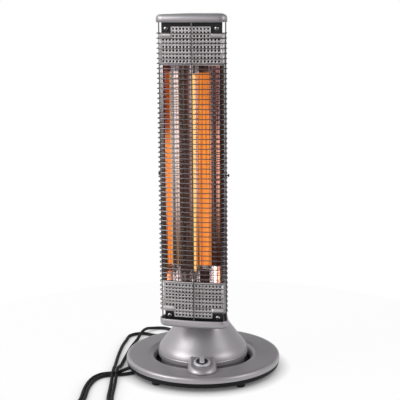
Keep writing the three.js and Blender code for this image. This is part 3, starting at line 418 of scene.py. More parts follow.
# %% Finishes for the CAD pieces
CARRIED = {
    BLACK_IRON: ["ballast_plate"], BRASS: ["crank_arm"], CERAMIC: ["terminal_block"],
    BLACK_PLASTIC: ["swivel_bush", "rotary_switch", "tip_plunger", "tip_switch"],
    STEEL: ["gear_motor", "motor_bracket", "swivel_tube", "retaining_ring", "swing_lever"],
    END_SHEET: ["chamber_end_top", "chamber_end_bottom"],
    BRIGHT_EDGE: ["side_frame_right", "side_frame_left"],
    BLACK_PAINT: ["end_bracket_top", "end_bracket_bottom"], SLEEVE: ["lead_top", "lead_bottom"],
    RUBBER: [f"foot_{k}" for k in range(1, 6)],
}
for material, nodes in CARRIED.items():
    for node in nodes:
        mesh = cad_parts[node].data
        mesh.materials.clear()
        mesh.materials.append(material)
print("carried over", sum(map(len, CARRIED.values())))

# %% [markdown]
# ## The mains cord
# A rubber lead leaves the base through a sleeve, runs forwards and back twice, and ends in a plug
# behind the pedestal. A tie holds two strands beside the base. A curve object with a bevel would
# do, but the lead's length and its lowest points matter, so its route is a list of points on the
# floor, with arcs at the folds and low humps where it passes over itself. A smooth line goes
# through them all.

# %% Cord route
CORD_R = 3.5
LIE = 3.6  # height of the cord's middle where it lies on the floor


def lain(points):
    """Adds to flat points (x, y) the height at which the cord lies."""
    return np.column_stack([points, np.full(len(points), LIE)])


def turn(x, y, r, start, end, steps):
    """Points on a flat arc of radius r about (x, y), lying on the ground."""
    t = np.radians(np.linspace(start, end, steps + 1))
    return lain(np.column_stack([x + r * np.cos(t), y + r * np.sin(t)]))


def along(start, yaw, dip, distances):
    """Points at the given distances from start, on a line that turns by yaw and dips."""
    d = np.asarray(distances, float)[:, None]
    return np.array(start) + d * np.array([math.cos(yaw) * math.cos(dip),
                                           math.sin(yaw) * math.cos(dip), -math.sin(dip)])


RELIEF_SEAT, RELIEF_YAW, RELIEF_DIP = (-153.5, -51, 14.8), math.radians(186), math.radians(20)
PLUG_TAIL, PLUG_YAW, PLUG_DIP = (-40, 201, 7.2), math.radians(28), math.radians(-17)
ROUTE = np.vstack([
    along(RELIEF_SEAT, RELIEF_YAW, RELIEF_DIP, [20.3, 27]),
    [[-187, -54.4, 4.1]],
    lain([[-198, -54.9], [-209, -57.6], [-219.5, -64.5], [-229.5, -79], [-237, -103],
          [-241.5, -135], [-243, -165], [-243.5, -190], [-245.3, -208], [-248.7, -222]]),
    turn(-213, -233, 37.1, 180, 360, 6),
    lain([[-177.4, -222], [-180.8, -208], [-182.4, -190], [-182.4, -165], [-182.2, -140]]),
    [[-182, -116, 4.4], [-181.9, -98, 6.6], [-181.9, -84, 9.6], [-181.9, -68, 12],
     [-181.7, -54, 13], [-180.9, -40, 11], [-179.6, -26, 7.4], [-178.2, -12, 4.6]],
    lain([[-176.6, 0], [-173, 33], [-168, 72], [-163, 110], [-157, 142]]),
    [[-152, 163, 4.4], [-148, 182, 7], [-143.8, 198, 9.8], [-138.5, 214, 11],
     [-132, 228.5, 9.8], [-126, 239, 7.2], [-116.7, 248, 4.6]],
    turn(-102.1, 223.5, 28.8, 95, -90, 6),
    lain([[-112.8, 196], [-122.8, 201.6], [-132.2, 208.2]]),
    turn(-143, 179, 32, 90, 180, 3),
    lain([[-177.4, 160], [-182.5, 130], [-186, 90], [-188.3, 50], [-189.5, 15]]),
    [[-190, -8, 4.5], [-190, -22, 6], [-190, -36, 9.2], [-190, -52, 11], [-190, -68, 11],
     [-190, -84, 9.4], [-190, -98, 6.6], [-190, -116, 4.4]],
    lain([[-190, -140], [-190, -165], [-189.9, -190], [-188.3, -208], [-184.9, -222]]),
    turn(-213, -233, 29.6, 0, -180, 6),
    lain([[-241.1, -222], [-237.8, -208], [-236, -190], [-235.5, -165], [-234.2, -138],
          [-230, -110], [-223, -88], [-213.5, -74], [-202, -67], [-190, -64.5], [-178, -63.5],
          [-163, -60.3], [-146, -51.5], [-128, -36], [-112, -14], [-100, 14], [-92, 46],
          [-85, 80], [-78, 114], [-72.5, 146], [-67.5, 168], [-61.5, 182.5]]),
    [[-54, 192, 4.1]],
    along(PLUG_TAIL, PLUG_YAW, PLUG_DIP, [-8, -0.3]),
])
cord_line = spline(ROUTE, 6)

# %% [markdown]
# ### The cord's jacket
# Seen close, the jacket has the fine crossing threads of a woven sleeve. Real threads would cost
# many thousands of faces, so two slanted waves make them in the material. They follow a UV map that
# counts turns round the tube and diameters along it, so the threads run with the cord.

# %% Cord material
THREAD_SLANT = math.radians(38)
AROUND = 3.14  # width of the UV map: one turn round the tube, in diameters


def woven_cord():
    """A dark jacket whose raised threads cross: the product of two slanted waves of the UV map."""
    material, tree, shader = new_material("cord_jacket")
    uv = add_node(tree, "UVMap")
    uv.uv_map = "along"
    threads = []
    for slant in (THREAD_SLANT, -THREAD_SLANT):
        mapping = add_node(tree, "Mapping", {"Vector": uv.outputs["UV"], "Rotation": (0, 0, slant)})
        threads.append(add_node(tree, "TexWave", {"Vector": mapping.outputs["Vector"], "Scale": 2.2,
                                                  "Distortion": 0.6}).outputs["Fac"])
    weave = reckon(tree, "MULTIPLY", *threads)
    ramp = add_node(tree, "ValToRGB", {"Fac": weave})
    ramp.color_ramp.elements[0].color = (0.004, 0.004, 0.0045, 1)
    ramp.color_ramp.elements[1].color = (0.028, 0.028, 0.03, 1)
    bump = add_node(tree, "Bump", {"Strength": 0.35, "Distance": 0.0004, "Height": weave})
    fill(tree, shader, {"Base Color": ramp.outputs["Color"], "Normal": bump.outputs["Normal"],
                        "Roughness": 0.6, "Specular IOR Level": 0.3})
    return material


def add_tube_uv(piece, line, sides):
    """Writes a UV map that counts turns round the tube and diameters along it."""
    mesh = piece.data
    steps = np.linalg.norm(np.diff(line, axis=0), axis=1)
    run = np.concatenate([[0], np.cumsum(steps)]) / (2 * CORD_R)
    vertex = np.zeros(len(mesh.loops), int)
    mesh.loops.foreach_get("vertex_index", vertex)
    ring, side = np.divmod(np.minimum(vertex, len(line) * sides - 1), sides)
    starts = np.zeros(len(mesh.polygons), int)
    totals = np.zeros(len(mesh.polygons), int)
    mesh.polygons.foreach_get("loop_start", starts)
    mesh.polygons.foreach_get("loop_total", totals)
    polygon = np.repeat(np.arange(len(starts)), totals)
    highest = np.maximum.reduceat(side, starts)[polygon]
    around = np.where((side == 0) & (highest == sides - 1), AROUND, side / sides * AROUND)
    layer = mesh.uv_layers.new(name="along")
    layer.data.foreach_set("uv", np.column_stack([around, run[ring]]).ravel())


CORD = woven_cord()
print("cord material", CORD.name)

# %% Cord
CORD_SIDES = 16
points, faces = tube(cord_line, CORD_R, CORD_SIDES)
cord_piece = make_piece("cord", points, faces, CORD, "pedestal", "cord", "mains_cord")
add_tube_uv(cord_piece, cord_line, CORD_SIDES)
print("cord points", len(points))

# %% [markdown]
# ### Sleeve, plug and tie
# The sleeve that keeps the cord from breaking at the base has ribs, so that it bends evenly. The
# plug is a moulded round body with two pins. All are turned about the upright axis, laid down along
# +X and then placed on the cord's line, which is easier than modelling them where they lie. The tie
# is a flat loop round two strands: a thin tube, made wider along the cord.


# %% Sleeve
def placed(points, origin, yaw, dip):
    """Turns points that run along +X so that they run from an origin with a yaw and a dip."""
    return rotated(rotated(points, -dip, 0, 2), yaw) + origin


def lying(points):
    """Lays a piece turned about the upright axis down along +X."""
    x, y, z = points.T
    return np.stack([z, y, -x], -1)


ribs = [[0.01, -6], [4, -6], [4, 4.5]]
for start in (5.0, 8.2, 11.4, 14.6):
    r = 4 - (start - 5) * 0.02
    ribs += [[r - 0.75, start], [r - 0.75, start + 1.1], [r, start + 1.2], [r, start + 3.1]]
ribs += [[3.75, 18], [3.7, 19.6], [3.4, 20], [0.01, 20]]
points, faces = turned(ribs, 48)
make_piece("cord_sleeve", placed(lying(points), RELIEF_SEAT, RELIEF_YAW, RELIEF_DIP), faces, RUBBER,
           "pedestal", "rubber", "strain_relief")
print("sleeve points", len(points))

# %% Plug
PIN_APART = 19.0
plug_line = soften([[0.01, 0], [3.6, 0], [4, 0.2], [4.4, 6], [5.1, 16], [8, 18.6], [9.6, 24],
                    [12.5, 30], [17.2, 34], [18.3, 36.5], [18.5, 38], [18.5, 44.6], [18.2, 45.7],
                    [17, 46], [9, 46], [0.01, 46]], 2)
pin_line = soften([[0.01, 43], [2.4, 43], [2.4, 60], [2.4, 64], [2.0, 64.8], [0.8, 65],
                   [0.01, 65]], 2)
points, faces = turned(plug_line, 72)
plug_piece = make_piece("plug_body", placed(lying(points), PLUG_TAIL, PLUG_YAW, PLUG_DIP), faces,
                        RUBBER, "pedestal", "rubber", "mains_plug")
points, faces = turned(pin_line, 24)
points, faces = joined([(points + [0, side * PIN_APART / 2, 0], faces) for side in (-1, 1)])
pins_piece = make_piece("plug_pins", placed(lying(points), PLUG_TAIL, PLUG_YAW, PLUG_DIP), faces,
                        STEEL, "pedestal", "steel", "mains_plug")
print("plug points", len(plug_piece.data.vertices))

# %% Tie
TIE_Y, TIE_WIDER = -78.0, 4.2
tie_arcs = [(-181.9, 10.6, 4.6, -90, 90, 20), (-190, 10.2, 4.6, 90, 270, 20)]
tie_loop = arc_chain(tie_arcs)
tie_ring = np.column_stack([tie_loop[:, 0], np.full(len(tie_loop), TIE_Y), tie_loop[:, 1]])
tie_ring = np.vstack([tie_ring, tie_ring[:2]])
points, faces = tube(tie_ring, 0.45, 8)
points[:, 1] = TIE_Y + (points[:, 1] - TIE_Y) * TIE_WIDER
tie_piece = make_piece("cord_tie_loop", points, faces, BLACK_PLASTIC, "pedestal", "black_plastic",
                       "cord_tie")

# %% [markdown]
# ## The base
# A pressed steel ring, painted silver, covers the black tray that holds the ballast. Each is one
# profile turned about the upright axis. The profile is drawn with a few points and its corners are
# cut twice, which rounds them as the press does. A Bevel would round all alike.

# %% Base cover and tray
cover = soften([[163.6, 19.1], [164.8, 19.0], [165, 19.4], [165, 22], [164.9, 25.4], [163.9, 28.6],
                [161.6, 30.6], [158, 31.4], [150, 31.6], [130, 32.1], [118, 32.4], [112.6, 31.8],
                [107.8, 29], [104.4, 24.6], [102.2, 19.5], [101.5, 16.1], [102.4, 16.0],
                [103.1, 16.1], [104.0, 19.6], [106.0, 24.0], [109.0, 27.6], [113.2, 30.2],
                [118.2, 30.9],
                [157, 29.9], [160.6, 29], [162.6, 27], [163.4, 24.6], [163.5, 22]], 2, closed=True)
points, faces = turned(cover, 240, closed=True)
make_piece("base_cover_ring", points, faces, SILVER, "pedestal", "paint", "base_cover")

tray = soften([[0.01, 8.5], [156, 8.5], [160.4, 8.5], [162.4, 9.4], [163.5, 11.4], [164.1, 14],
               [164.2, 18.6], [163.9, 18.7], [161.4, 18.7], [161, 18.4], [160.6, 11.4], [160.2, 11],
               [0.01, 11]], 2)
points, faces = turned(tray, 240)
make_piece("base_tray_dish", points, faces, BLACK_PLASTIC, "pedestal", "black_plastic", "base_tray")
print("base made")

# %% [markdown]
# ## The pedestal
# The dome stands in the ring and carries the tower. It is turned as well: a lip with a bright bead,
# a full shoulder and a straight cone up to the neck. A subdivided cylinder would blur the bead.

# %% Pedestal dome
dome = soften([[89.9, 11.4], [90, 12], [90, 27.2], [91, 28.2], [94.6, 28.3], [95.6, 29], [95.9, 31],
               [96.0, 35.6], [96.2, 36.8], [96.1, 38.2], [95.5, 38.9], [95.4, 40.6], [94.9, 43],
               [93.3, 48], [90.9, 52.4], [87.3, 57.3], [82.5, 63.2], [76, 71.8], [68, 82.5],
               [60, 93.2], [55.6, 100.2], [53, 105], [50.6, 109.2], [47.2, 111.5], [43, 112],
               [27, 112], [25, 111.9], [24.7, 111.5], [24.7, 109.9], [25, 109.6], [44, 109.6],
               [50, 102], [66, 80], [81, 60], [90.5, 47], [92.5, 40], [92.6, 31.6], [91.8, 31],
               [88.2, 30.5], [87.7, 30], [87.6, 12], [87.7, 11.4]], 2, closed=True)
points, faces = turned(dome, 240, closed=True)
make_piece("pedestal_shell", points, faces, SILVER, "pedestal", "paint", "pedestal_dome")
print("dome points", len(points))

# %% [markdown]
# ### The knob's pod
# A short nose grows out of the dome and carries the knob. It could be cut from the dome with a
# Boolean, but it only has to meet the dome's skin from outside, so it is a loft: one outline of
# arcs, drawn in a little more on each ring for its rounded edge, under a top that tilts forwards.

# %% Knob pod
POD_X, POD_FRONT, KNOB_TILT = -2.3, -149, math.radians(10)
POD_SLOPE = math.tan(KNOB_TILT)
pod_arcs = [(POD_X, -119, 30, 180, 360, 64), (POD_X + 17, -74, 13, 0, 90, 8),
            (POD_X - 17, -74, 13, 90, 180, 8)]
pod_top = 42.0 - POD_SLOPE * 9.5
rows = [(0, 32.8, 0), (0.05, 33.4, 0), (0.25, 34.6, 0.02), (0.8, 36.0, 0.03), (1.6, 37.3, 0.06),
        (2.6, 38.3, 0.09), (3.8, 39.2, 0.12), (5.2, 39.9, 0.15), (6.6, 40.25, 0.17),
        (8.0, pod_top - 0.05, POD_SLOPE), (9.2, pod_top, POD_SLOPE)]
points, faces = lofted(pod_arcs, rows, POD_FRONT)
make_piece("knob_pod", points, faces, SILVER, "pedestal", "paint", "pedestal_dome", angle=50)
print("pod top", round(pod_top, 2), "mm")

# %% [markdown]
# ## The selector knob
# A low skirt with a bright conical edge carries a grip bar with a bright top. The skirt's flat top
# and the bar's sides are near black, a painted shade. The skirt is turned and the bar is lofted,
# both upright in the knob's own frame, which is then tilted onto the pod. So the shapes stay
# simple, and the knob turns about its own axis.

# %% Knob
KNOB_BASE = np.array([POD_X, -116, 42 + POD_SLOPE * 23.5])
FLAT_R, FLAT_Z = 13, 4  # the skirt's flat top lies inside this radius and above this height


def on_pod(points):
    """Tilts the knob's own frame towards the front and moves it onto the pod."""
    return rotated(points, KNOB_TILT, 1, 2) + KNOB_BASE


skirt = soften([[0.01, 0.3], [16.6, 0.3], [17.3, 0.5], [17.6, 1.2], [17.4, 2.2], [16.9, 3.3],
                [14.4, 4.7], [13.6, 5], [13.4, 4.9], [0.01, 4.9]], 2)
points, faces = turned(skirt, 96)
knob_skirt = make_piece("knob_skirt", on_pod(points), faces, KNOB, "knob", "knob_plastic",
                        "selector_knob")
# The skirt's flat top gets the near-black finish, a painted shade.
knob_skirt.data.materials.append(KNOB_PAINTED_SHADE)
centres = np.array([points[list(face)].mean(0) for face in faces])
flat = (np.linalg.norm(centres[:, :2], axis=1) < FLAT_R) & (centres[:, 2] > FLAT_Z)
knob_skirt.data.polygons.foreach_set("material_index", flat.astype(np.int32))
grip_arcs = [(3.4, 11.2, 1.7, 0, 78, 5), (0, 0.8, 13.0, 76, 104, 12),
             (-3.4, 11.2, 1.7, 102, 180, 5), (-3.4, -11.2, 1.7, 180, 258, 5),
             (0, -0.8, 13.0, 256, 284, 12), (3.4, -11.2, 1.7, 282, 360, 5)]
for name, material, rows in (
        ("knob_grip", KNOB_PAINTED_SHADE, [(-0.6, 4.4, 0), (-0.1, 6, 0), (0.2, 7.5, 0), (0.5, 9.2, 0)]),
        ("knob_grip_top", KNOB, [(0.3, 8.2, 0), (0.5, 9.4, 0), (1.0, 10.1, 0), (1.6, 10.4, 0)])):
    points, faces = lofted(grip_arcs, rows)
    make_piece(name, on_pod(points), faces, material, "knob", "knob_plastic", "selector_knob")
print("knob made, dark faces on its skirt:", int(flat.sum()))

# %% [markdown]
# ## The tower's outline
# From above, the tower is a shallow bow in front, two small corners, two tapering sides and a
# rounded back. The caps, the housing and the guard all follow it. Drawing each by hand would let
# them drift apart, so the outline is one chain of tangent arcs, drawn in by a smaller or larger
# inset, and the arcs' centres are worked out from the sizes.

# %% Tower outline
FRONT_V, REAR_V, HALF_WIDTH, BOW_R, CORNER_R, REAR_R = -104.0, 38.0, 71.5, 400.0, 16.0, 22.0
TAPER_DEG = 13.5
TAPER = math.radians(TAPER_DEG)
REAR_DEEP = 24  # how far the rear corners' centres lie before the back
corner_u = HALF_WIDTH - CORNER_R
bow_v = FRONT_V + BOW_R
corner_v = bow_v - math.sqrt((BOW_R - CORNER_R) ** 2 - corner_u ** 2)
bow_half = math.degrees(math.asin(corner_u / (BOW_R - CORNER_R)))
rear_v = REAR_V - REAR_DEEP
reach = corner_u * math.cos(TAPER) + corner_v * math.sin(TAPER) + CORNER_R
rear_u = (reach - REAR_R - rear_v * math.sin(TAPER)) / math.cos(TAPER)
rear_bow = (rear_u ** 2 + REAR_DEEP ** 2 - REAR_R ** 2) / (2 * (REAR_DEEP - REAR_R))
rear_half = math.degrees(math.asin(rear_u / (rear_bow - REAR_R)))


def tower_arcs(fine=1):
    """The tower's outline as arcs, each with its number of steps times fine."""
    return [(0, bow_v, BOW_R, -90 - bow_half, -90 + bow_half, 10 * fine),
            (corner_u, corner_v, CORNER_R, -90 + bow_half, TAPER_DEG, 6 * fine),
            (rear_u, rear_v, REAR_R, TAPER_DEG, 90 - rear_half, 5 * fine),
            (0, REAR_V - rear_bow, rear_bow, 90 - rear_half, 90 + rear_half, 6 * fine),
            (-rear_u, rear_v, REAR_R, 90 + rear_half, 180 - TAPER_DEG, 5 * fine),
            (-corner_u, corner_v, CORNER_R, 180 - TAPER_DEG, 270 - bow_half, 6 * fine)]


def side_u(v, inset):
    """Half width of the tapering side at depth v, drawn in by the inset."""
    return (reach - inset - v * math.sin(TAPER)) / math.cos(TAPER)


print("rear bow radius", round(rear_bow, 1), "mm")

# %% [markdown]
# ### End caps
# Two moulded, painted caps close the tower. Each is a loft of the outline that starts inside, runs
# round the rim and ends on the outer face, so the cap has a real wall and a rounded edge. The rows
# are pairs of inset and height.

# %% End caps
top_rows = [(14, 749), (6.4, 749), (4.2, 748.4), (3.2, 747), (3, 745), (3, 737), (2.6, 736.5),
            (0.4, 736.5), (0, 737), (0, 744.6), (0.25, 746.4), (1.0, 748.2), (2.3, 749.8),
            (4.2, 751.0), (6.6, 751.6), (9.6, 751.9), (14, 752)]
bottom_rows = [(14, 118), (6.4, 118), (4.2, 118.5), (3.2, 119.8), (3, 121.5), (3, 130.9),
               (2.6, 131.5), (0.4, 131.5), (0, 130.9), (0, 122.4), (0.3, 120.4), (1.2, 118.5),
               (2.7, 116.9), (4.8, 115.7), (7.4, 115.15), (10.4, 115), (14, 115)]
for end, rows in (("top", top_rows), ("bottom", bottom_rows)):
    points, faces = lofted(tower_arcs(3), [(inset, z, 0) for inset, z in rows])
    make_piece(f"{end}_cap_shell", to_tower(points), faces, SILVER, "tower", "paint", f"{end}_cap",
               angle=50)
print("caps made")

# %% [markdown]
# ### Rear housing
# The back is one painted sheet, bent round the outline, with two groups of slots that let the heat
# out. Boolean cutters would leave ragged edges, so the sheet is a grid whose lines run along the
# slots' edges, and the slots' cells are left out. A Solidify modifier then gives the wall its
# thickness. Behind each slot a small hood slopes down, as pressed louvres do.

# %% Rear housing
HOUSING_INSET, HOUSING_FRONT, SLOT_HALF = 9.5, -80, 19.0
SLOT_PITCH, SLOT_HIGH = 9, 3.6


def add_wall(piece, thickness, inside=None, rim=0):
    """Gives a sheet its thickness behind its faces, with another finish inside and on its rim."""
    wall = piece.modifiers.new("wall", "SOLIDIFY")
    wall.thickness = thickness * MM
    wall.offset = -1
    if inside:
        piece.data.materials.append(inside)
        wall.material_offset = 1
        wall.material_offset_rim = rim


def sheet(line, heights, open_cells=None):
    """A sheet along a plan line between heights; the cells marked as open are left out."""
    rows, columns = len(heights), len(line)
    points = np.stack([np.broadcast_to(line[:, 0], (rows, columns)),
                       np.broadcast_to(line[:, 1], (rows, columns)),
                       np.broadcast_to(np.asarray(heights)[:, None], (rows, columns))], -1)
    quads = grid_quads(rows, columns)
    if open_cells is not None:
        quads = quads[~open_cells.ravel()]
    return points.reshape(-1, 3), quads


outline = arc_chain(tower_arcs(3), HOUSING_INSET)
front_right = np.argmin(np.where(outline[:, 0] > 0, outline[:, 1], 1e9))
outline = np.roll(outline, -front_right, axis=0)
end_u = side_u(HOUSING_FRONT, HOUSING_INSET)
back = np.vstack([[[end_u, HOUSING_FRONT]], outline[outline[:, 1] > HOUSING_FRONT],
                  [[-end_u, HOUSING_FRONT]]])
slot_u = np.linspace(SLOT_HALF, -SLOT_HALF, 13)
slot_v = REAR_V - rear_bow + np.sqrt((rear_bow - HOUSING_INSET) ** 2 - slot_u ** 2)
slot_line = np.column_stack([slot_u, slot_v])
line = np.vstack([back[back[:, 0] > SLOT_HALF + 0.5], slot_line,
                  back[back[:, 0] < -SLOT_HALF - 0.5]])
slots = [(start + k * SLOT_PITCH, start + k * SLOT_PITCH + SLOT_HIGH)
         for start in (160, 647) for k in range(7)]
heights = np.array(sorted([118.4, 748.6] + [height for slot in slots for height in slot]))
middle_u = (line[:-1, 0] + line[1:, 0]) / 2
middle_z = (heights[:-1] + heights[1:]) / 2
in_slot = np.array([any(low < z < high for low, high in slots) for z in middle_z])
points, faces = sheet(line, heights, in_slot[:, None] & (np.abs(middle_u) < SLOT_HALF))
housing = make_piece("rear_housing_sheet", to_tower(points), faces, SILVER, "tower", "paint",
                     "rear_housing")
# The wall's inside faces are near black, a painted shade.
add_wall(housing, 1.2, INSIDE_PAINTED_SHADE)
print("housing columns", len(line))

# %% Louvre hoods
hoods = []
for low, high in slots:
    lip = [np.column_stack([slot_line - [0, drop], np.full(len(slot_line), z)])
           for drop, z in ((1.3, high), (3.2, (low + high) / 2 - 0.6), (5.6, low - 1.4))]
    hoods.append((np.vstack(lip), grid_quads(3, len(slot_line))))
points, faces = joined(hoods)
# The hoods are near black, a painted shade behind the slots.
hood = make_piece("louvre_hoods", to_tower(points), faces, INSIDE_PAINTED_SHADE, "tower", "paint",
                  "rear_housing")
add_wall(hood, 0.6)
print("hoods", len(hoods))

# %% [markdown]
# ## The perforated plates
# Above and below the opening a painted plate with rows of punched holes lets air through. Hundreds
# of Boolean cuts would be slow and untidy. Here each hole has a square cell, a ring of quads
# between the hole and the cell's edge. The cells and the plain margins are laid out flat, and the
# sheet is bowed about an upright axis before it gets its thickness.

# %% Plate cells
HOLE_PITCH, HOLE_R, HOLE_SIDES, PLATE_R, PLATE_V = 7.03, 2.12, 24, 582.0, -92.0
PLATE_HALF, PLATE_HIGH, NECK_HALF, NOTCH_HIGH, MARGIN = 65.4, 75.4, 40.2, 12.2, 4.6


def hole_cell(cu, ch, half):
    """A square about (cu, ch) with a round hole: two rings, the outer pushed out to the square."""
    t = angles(HOLE_SIDES) + math.pi / HOLE_SIDES
    circle = np.column_stack([np.cos(t), np.sin(t)])
    square = circle / np.abs(circle).max(1)[:, None]
    ring = np.vstack([half * square, HOLE_R * circle]) + [cu, ch]
    return np.column_stack([ring, np.zeros(len(ring))]), grid_quads(2, HOLE_SIDES, wrap=True)


def plain_strip(u0, u1, h0, h1):
    """A flat strip without holes, in columns about 3.6 mm wide so that it can follow the bow."""
    columns = max(2, int(abs(u1 - u0) / 3.6) + 1)
    points = np.zeros((2 * columns, 3))
    points[:, 0] = np.tile(np.linspace(u0, u1, columns), 2)
    points[:, 1] = np.repeat([h0, h1], columns)
    return points, grid_quads(2, columns)


def perforated(cap_edge_z, towards_lamp):
    """Points and faces of one plate: holed cells and plain margins, bowed with radius PLATE_R."""
    half = HOLE_PITCH / 2
    parts = []
    for row in range(10):
        count = 11 if row < 3 else 17
        parts += [hole_cell((k - (count - 1) / 2) * HOLE_PITCH, MARGIN + row * HOLE_PITCH, half)
                  for k in range(count)]
    inner, outer = 5.5 * HOLE_PITCH, 8.5 * HOLE_PITCH
    low, third, last = MARGIN - half, MARGIN + 2.5 * HOLE_PITCH, MARGIN + 9.5 * HOLE_PITCH
    parts.append(plain_strip(-NECK_HALF, NECK_HALF, 0, low))
    for side in (-1, 1):
        for u0, u1, h0, h1 in ((inner, NECK_HALF, low, NOTCH_HIGH),
                               (inner, PLATE_HALF, NOTCH_HIGH, third),
                               (outer, PLATE_HALF, third, last)):
            parts.append(plain_strip(*sorted((side * u0, side * u1)), h0, h1))
    parts.append(plain_strip(-PLATE_HALF, PLATE_HALF, last, PLATE_HIGH))
    points, faces = joined(parts)
    angle = points[:, 0] / PLATE_R
    bowed = np.column_stack([PLATE_R * np.sin(angle), PLATE_V + PLATE_R * (1 - np.cos(angle)),
                             cap_edge_z + towards_lamp * points[:, 1]])
    return bowed, faces


def thicken(piece, thickness, inside=None):
    """Joins a sheet's double points, turns every face forwards and gives it its wall."""
    mesh = bmesh.new()
    mesh.from_mesh(piece.data)
    bmesh.ops.remove_doubles(mesh, verts=mesh.verts, dist=0.02 * MM)
    mesh.normal_update()
    bmesh.ops.reverse_faces(mesh, faces=[face for face in mesh.faces if face.normal.y > 0])
    mesh.to_mesh(piece.data)
    mesh.free()
    add_wall(piece, thickness, inside, rim=1)


print("one cell has", len(hole_cell(0, 0, 1)[1]), "quads")

# %% Perforated plates
for name, edge_z, towards, node in (("upper_plate", 728.1, -1, "perforated_plate_top"),
                                    ("lower_plate", 135.3, 1, "perforated_plate_bottom")):
    points, faces = perforated(edge_z, towards)
    plate = make_piece(name, to_tower(points), faces, PLATE, "tower", "plate", node)
    # The plate's back and the walls of its holes are near black, a painted shade.
    thicken(plate, 1.0, INSIDE_PAINTED_SHADE)
    print(name, "faces", len(faces))

# %% [markdown]
# ## The reflector
# The trough behind the lamp is polished sheet, so its section decides which stripes of the glowing
# strip it shows. The section is a smooth line through measured points, and the same line is used at
# every height. Along its left side a painted reflection darkens it: bronze low down, dark maroon
# near the top. A picture could carry that colour, but it only depends on the place, so each point
# of the mesh gets its own tint and the material multiplies the polished colour by it.

# %% Painted reflection tint
def reflection_painted_sheet():
    """The polished finish times each point's painted reflection tint, bronze along the sheet's left
    side.
    """
    material = POLISHED.copy()
    material.name = "reflection_painted_sheet"
    tree = material.node_tree
    shader = tree.nodes["Principled BSDF"]
    painted_tint = add_node(tree, "Attribute")
    painted_tint.attribute_name = "painted_reflection_tint"
    plain = shader.inputs["Base Color"].links[0].from_socket
    fill(tree, shader, {"Base Color": blended(tree, 1.0, plain, painted_tint.outputs["Color"],
                                              "MULTIPLY")})
    return material


REFLECTION_PAINTED = reflection_painted_sheet()
print("reflection_painted sheet", REFLECTION_PAINTED.name)

# %% Reflector
HALF = np.array([[0, -50.5], [4, -50.5], [8, -50.63], [12, -51.12], [16, -51.93], [20, -53.06],
                 [24, -54.49], [28, -56.2], [33, -58.72], [38, -63.72], [45, -70.72], [48, -74.59],
                 [51, -78.79], [54, -83.34], [56.3, -87.0]])
# painted reflection colours of the left band: low down, and from 530 mm up
PAINTED_TINT_LOW, PAINTED_TINT_HIGH = np.array([1.0, 0.46, 0.24]), np.array([0.3, 0.1, 0.08])
section = spline(np.vstack([HALF[::-1], HALF[1:] * [-1, 1]]), 8)
heights = [209.8, 210.6, 320, 432, 490, 500, 510, 520, 530, 653.4, 654.2]
points, faces = sheet(section, heights)
reflector = make_piece("reflector_trough", to_tower(points), faces, REFLECTION_PAINTED, "tower", "mirror",
                       "reflector")
# the band along the left side that takes the painted reflection tint
painted_band = np.clip((-points[:, :1] - 46) / 3, 0, 1)  # from 46 to 49 mm left of the middle
high = np.clip((points[:, 2:] - 490) / 40, 0, 1)  # from 490 to 530 mm above the floor
colour = 1 - painted_band * (1 - (1 - high) * PAINTED_TINT_LOW - high * PAINTED_TINT_HIGH)
tint = reflector.data.attributes.new("painted_reflection_tint", "FLOAT_COLOR", "POINT")
tint.data.foreach_set("color", np.column_stack([colour, np.ones(len(colour))]).ravel())
thicken(reflector, 0.8)
print("reflector columns", len(section))

# %% [markdown]
# ## The lamp
# A flat carbon strip glows in a clear quartz tube. The tube is plain glass, with a low index
# because it is thin. The strip gives light of its own: its front is hot and yellow, its other sides
# are a deeper orange, which is what the trough mirrors. One colour would look like paint, so long
# streaks of noise draw it towards embers.

# %% Lamp finishes
def quartz():
    """Clear quartz: a transmissive shader with a faint warm tint."""
    material, tree, shader = new_material("quartz")
    fill(tree, shader, {"Base Color": (1.0, 0.985, 0.96, 1), "Roughness": 0.02,
                        "Transmission Weight": 1.0, "IOR": 1.14})
    return material


def glowing(name, hot, embers):
    """Hot carbon: light that goes between a hot colour and embers in long upright streaks."""
    material, tree, shader = new_material(name)
    streak = upright_streaks(tree, (2600, 2600, 3), 2, 0.36, 0.48)
    fill(tree, shader, {"Base Color": (0.03, 0.02, 0.02, 1), "Roughness": 0.7,
                        "Emission Strength": 1.1,
                        "Emission Color": blended(tree, streak, (*embers, 1), (*hot, 1))})
    return material


QUARTZ = quartz()
GLOW_FRONT = glowing("glow_front", (1.0, 0.64, 0.21), (0.85, 0.38, 0.08))
GLOW_BACK = glowing("glow_back", (1.0, 0.33, 0.055), (0.42, 0.07, 0.015))
print("lamp finishes", QUARTZ.name, GLOW_FRONT.name, GLOW_BACK.name)

# %% Tube and strip
LAMP_V = -71.0
STRIP_TURN, STRIP_LOW, STRIP_HIGH = math.radians(-25), 229.7, 633.4


def at_lamp(part):
    """Moves a piece from the upright axis to the lamp's axis in the tower."""
    points, faces = part
    return to_tower(points + [0, LAMP_V, 0]), faces


